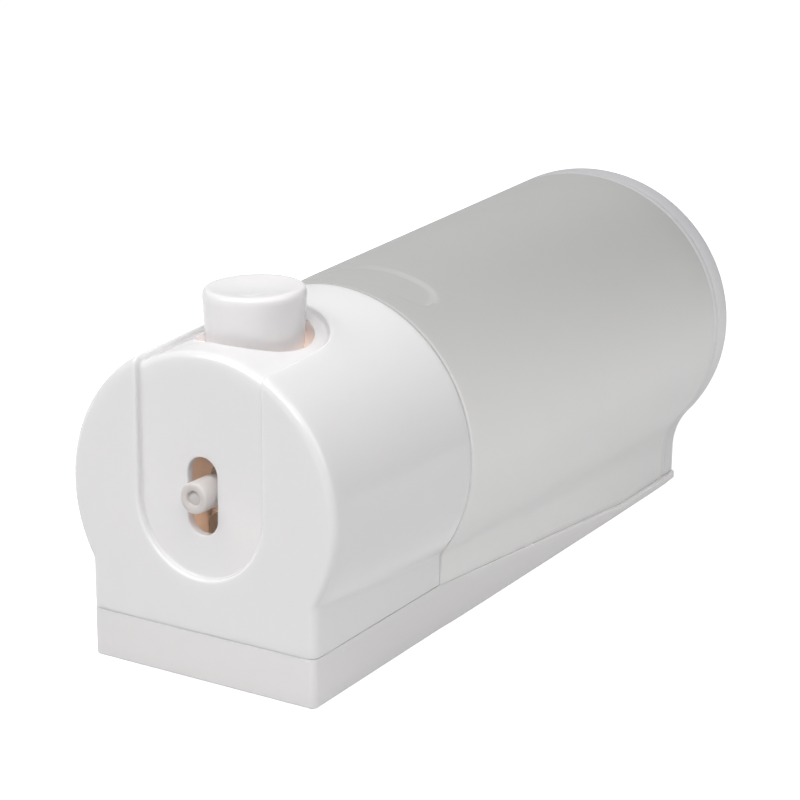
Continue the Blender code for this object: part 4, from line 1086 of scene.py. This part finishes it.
# %% [markdown]
# ## The nozzle tube
#
# A short silicone tube carries the soap out through the slot, and moves up and down in it with
# the button. Only its end shows. The bore looks light in the photograph, not dark, so a thin
# domed skin is turned into its mouth, as on tubes that hold the last drop back. One profile
# carried round the axis makes skin, lip and sleeve together, so nothing has to be joined.

# %% Turn the nozzle tube
NOZZLE_Z = 43.8
skin = [(0, -1.35), (0.7, -1.32), (1.25, -1.2), (1.6, -1.12), (1.74, -1.4), (1.84, -1.74)]
lip = [(2.05, -1.86), (2.6, -1.9), (3.15, -1.86), (3.42, -1.72), (3.56, -1.5), (3.6, -1.2)]
sleeve = [(3.6, 9.4), (4.4, 10.9), (4.4, 16.5), (4.2, 16.7), (2.9, 16.7), (2.9, 9.8)]
bore = [(1.75, 9.8), (1.75, 0.0), (0, 0.0)]
tube = lathe(skin + lip + sleeve + bore, (0, 0, NOZZLE_Z), "y", 72)
piece("nozzle_sleeve", [tube], tube_silicone, "press", "nozzle_tube")

# %% [markdown]
# ## The bottle
#
# The bottle carries the same outline on, from the seam to the filling mouth, with a shallow oval
# hollow for the thumb. It could be a solid block, but it opens when the lid is pulled. So its
# wall runs outside to the mouth, turns over the rim and comes back inside, then out through the
# neck: one long strip of closed rings. A T-shaped lug under the foot slides between the plate's
# rails.

# %% Loft the bottle
NECK_Z = 29.3
NECK_OUTER = 12.3
NECK_INNER = 10.3
NECK_TIP = 48.4
NECK_CHAMFER = 0.3
BOTTLE_START = 55.45
BOTTLE_ROUND = 0.6
BOTTLE_END = 190.8
MOUTH_ROUND = 0.15
BOTTLE_WALL = 2.0
INSIDE_START = 57.15


def facing_ring(outline, radius, y, height=NECK_Z):
    """A ring round an axis along y at a height: its points face those of an outline."""
    angle = np.arctan2(outline[:, 2] - height, outline[:, 0])
    across, up = radius * np.cos(angle), height + radius * np.sin(angle)
    return np.stack([across, y + 0 * angle, up], axis=-1)


def bottle_foot_at(y):
    """Height of the bottle's foot: just over the wall plate's sides."""
    return plate_top_at(y) + 0.02


def closed(rings):
    """Rings stacked into one grid, each with its first point again at its end."""
    rings = np.stack(rings)
    return np.concatenate([rings, rings[:, :1]], axis=1)


turns = quarter_turn(7)
y_start = BOTTLE_START + BOTTLE_ROUND * (1 - np.cos(turns))
drawn_start = BOTTLE_ROUND * (1 - np.sin(turns))
grip_rows = np.linspace(61.5, 75.0, 55)
y = np.concatenate([[57, 59, 61], grip_rows, [76, 80, 90, 105, 125, 145, 163, 178]])
turns = quarter_turn(5)
y_end = BOTTLE_END - MOUTH_ROUND + MOUTH_ROUND * np.sin(turns)
drawn = np.concatenate([drawn_start, 0 * y, MOUTH_ROUND * (1 - np.cos(turns))])
y = np.concatenate([y_start, y, y_end])
outside = whole_outline(y, drawn, bottle_foot_at(y), 0.08, grip=True)
y = np.array([BOTTLE_END, 163, 120, 80, INSIDE_START])
inside = whole_outline(y, BOTTLE_WALL, bottle_foot_at(y) + BOTTLE_WALL, 0.2)
front, back = outside[0], inside[-1]
rings = [
    facing_ring(front, NECK_OUTER, NECK_TIP + NECK_CHAMFER),
    facing_ring(front, NECK_OUTER, BOTTLE_START),
    *between(facing_ring(front, NECK_OUTER, BOTTLE_START), front, 4)[1:-1],
    *outside,
    *inside,
    *between(back, facing_ring(back, NECK_INNER, INSIDE_START), 3)[1:],
    facing_ring(front, NECK_INNER, NECK_TIP),
    facing_ring(front, NECK_OUTER - NECK_CHAMFER, NECK_TIP),
    facing_ring(front, NECK_OUTER, NECK_TIP + NECK_CHAMFER),
]
flank = np.array([(9, 3.0), (9, 4.8), (5, 5.0), (5, 9.8)])
lug = bar(flank * np.array([-1, 1]), flank, (84, 96))
piece("bottle_shell", [closed(rings), *lug], frosted, "dispenser", "bottle")

# %% [markdown]
# ## The gasket and the lid
#
# A silicone band seals the filling mouth, and the lid presses it with a rim that plugs into the
# bottle. The lid's far end is flat with a rounded edge, and has a small vent hole. Both are
# lofted from the same outline as the bottle, so their sides stay flush with it, and only fine
# grooves part them.

# %% Loft the gasket and the lid
BAND_WALL = 2.0
VENT_Z = 72
VENT_RADIUS = 1
LID_END = 200
LID_ROUND = 1.2
PLUG_START = 184
ends = np.array([190.85, 190.95, 191.15, 192.9, 193.05, 193.15])
drawn = np.array([0.2, 0.08, 0.03, 0.03, 0.08, 0.2])
outside = whole_outline(ends, drawn, bottle_foot_at(ends) + drawn, 0.25)
inside = whole_outline(ends[::-1], BAND_WALL, bottle_foot_at(ends[::-1]) + BAND_WALL, 0.2)
band = closed([*outside, *inside, outside[0]])
piece("lid_band", [band], gasket_silicone, "lid", "lid_gasket")

turns = quarter_turn(9)
y = np.concatenate([[193.2, 193.35], LID_END - LID_ROUND + LID_ROUND * np.sin(turns)])
drawn = np.concatenate([[0.08, 0], LID_ROUND * (1 - np.cos(turns))])
outside = whole_outline(y, drawn, bottle_foot_at(y) + drawn, 0.25)
mouth_foot = bottle_foot_at(190)
plug = whole_outline([PLUG_START, 184.3, 193.2], [2.5, 2.3, 2.3], mouth_foot + 2.3, 0.3)
inner = whole_outline([198, 197.5, 193.4, PLUG_START], [3.0, 2.4, 3.9, 3.9], mouth_foot + 3.9, 0.3)
cap, under = outside[-1], inner[0]
rings = [
    *plug,
    *outside,
    *between(cap, facing_ring(cap, VENT_RADIUS, LID_END, VENT_Z), 6)[1:],
    *between(facing_ring(under, VENT_RADIUS, 198, VENT_Z), under, 6),
    *inner[1:],
    plug[0],
]
piece("lid_cap", [closed(rings)], frosted_lid, "lid", "bottle_lid")

# %% [markdown]
# ## Bright metal
#
# The spring and the tube's clip are drawn stainless steel, and the screws are zinc plated. Such
# metal mirrors, but never evenly: drawing and plating leave fine marks. A constant roughness
# would look like chrome, so one noise drives both the roughness and a shallow bump. Its scale is
# the marks' real size of about half a millimetre. A metal keeps the default IOR.

# %% Stainless steel and zinc plate


def polished_metal(name, swatch, roughness, grit):
    """Metal with fine marks: the same noise moves the roughness by 30 per cent and the bump."""
    material, tree = new_material(name)
    place = add_node(tree, "ShaderNodeTexCoord").outputs["Object"]
    marks = add_node(
        tree, "ShaderNodeTexNoise", [("Scale", wave_scale(grit)), ("Detail", 4.0)], [("Vector", place)]
    )
    dull = add_node(
        tree,
        "ShaderNodeMapRange",
        [("To Min", roughness * 0.7), ("To Max", roughness * 1.3)],
        [("Value", marks.outputs["Fac"])],
    )
    relief = add_node(
        tree,
        "ShaderNodeBump",
        [("Strength", 0.6), ("Distance", 0.01 * MM)],
        [("Height", marks.outputs["Fac"])],
    )
    shader = add_node(
        tree,
        "ShaderNodeBsdfPrincipled",
        [("Base Color", colour(swatch)), ("Metallic", 1.0)],
        [("Roughness", dull.outputs["Result"]), ("Normal", relief.outputs["Normal"])],
    )
    add_node(tree, "ShaderNodeOutputMaterial", [], [("Surface", shader.outputs[0])])
    return material


stainless = polished_metal("stainless steel, drawn", "#C4C2BE", 0.22, 0.5)
zinc = polished_metal("zinc plated steel", "#C8CCD2", 0.3, 0.8)
print("made:", [finish.name for finish in (stainless, zinc)])

# %% [markdown]
# ## The return spring
#
# A coil of stainless wire in the button's well pushes the button back up. It could be a curve
# with a round bevel, but the coil must shorten when the button goes down, and only a mesh can be
# flattened with the joint. So the wire is a grid: rings of points along a helix whose end turns
# lie closer, as they do on a real spring. Each end is closed with a ring of no radius.

# %% Wind the return spring
COIL_RADIUS = 8.0
WIRE = 0.6
TURNS = 7
END_TURN = 1.7
COIL_LOW = 60.9
COIL_HIGH = 84.1
turn = np.linspace(0, TURNS, TURNS * 40 + 1)
rise = COIL_HIGH - COIL_LOW
climb = np.interp(turn, [0, 1, TURNS - 1, TURNS], [0, END_TURN, rise - END_TURN, rise])
angle = 2 * math.pi * turn
outward = np.stack([np.cos(angle), np.sin(angle), 0 * angle], axis=-1)
axis = np.stack([0 * angle, BUTTON_Y + 0 * angle, COIL_LOW + climb], axis=-1)
line = COIL_RADIUS * outward + axis
ahead = np.gradient(line, axis=0)
ahead /= np.linalg.norm(ahead, axis=1, keepdims=True)
upright = np.cross(ahead, outward)
around = np.linspace(0, 2 * math.pi, 13)[None, :, None]
reach = WIRE * (np.cos(around) * outward[:, None] + np.sin(around) * upright[:, None])
tube = line[:, None] + reach
tube = np.concatenate([line[:1, None] + 0 * reach[:1], tube, line[-1:, None] + 0 * reach[-1:]])
coil = piece("spring_coil", [tube], stainless, "dispenser", "return_spring", 60)
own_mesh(coil)

# %% [markdown]
# ## The hidden pieces
#
# The pump, its screws and its valves show only when the dispenser is taken apart. They could be
# modelled again, but their shapes are right as they are, so they keep the frame's meshes and get
# the finish they have in life: acetal, IOR 1.48, for what slides, ABS for the inner mouldings,
# clear silicone for the seals, zinc plate for the screws and stainless steel for the clip.

# %% Finish the hidden pieces
acetal = moulded_plastic("natural acetal, moulded", "#E4E1D8", 0.34, 4, 0.01, (0.3, 1.5), 0.0, 1.48)
inner_abs = moulded_plastic("white ABS, inner mouldings", "#DEDCDC", 0.38, 5, 0.012)
seal_silicone = moulded_plastic("clear silicone, seals", "#CFCCC8", 0.4, 2, 0.01, (0.4, 2), 0.2, 1.41)
finishes = {
    "chassis": inner_abs,
    "pump_body": acetal,
    "cylinder_cap": acetal,
    "pump_stem": acetal,
    "piston": acetal,
    "collar_nut": inner_abs,
    "piston_seal": seal_silicone,
    "inlet_valve": seal_silicone,
    "outlet_valve": seal_silicone,
    "neck_gasket": seal_silicone,
    "tube_clip": stainless,
}
finishes.update({name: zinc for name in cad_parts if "screw" in name})
for name, finish in finishes.items():
    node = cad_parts[name]
    for place in node.material_slots:
        place.material = finish
print("finished:", sorted(finishes))
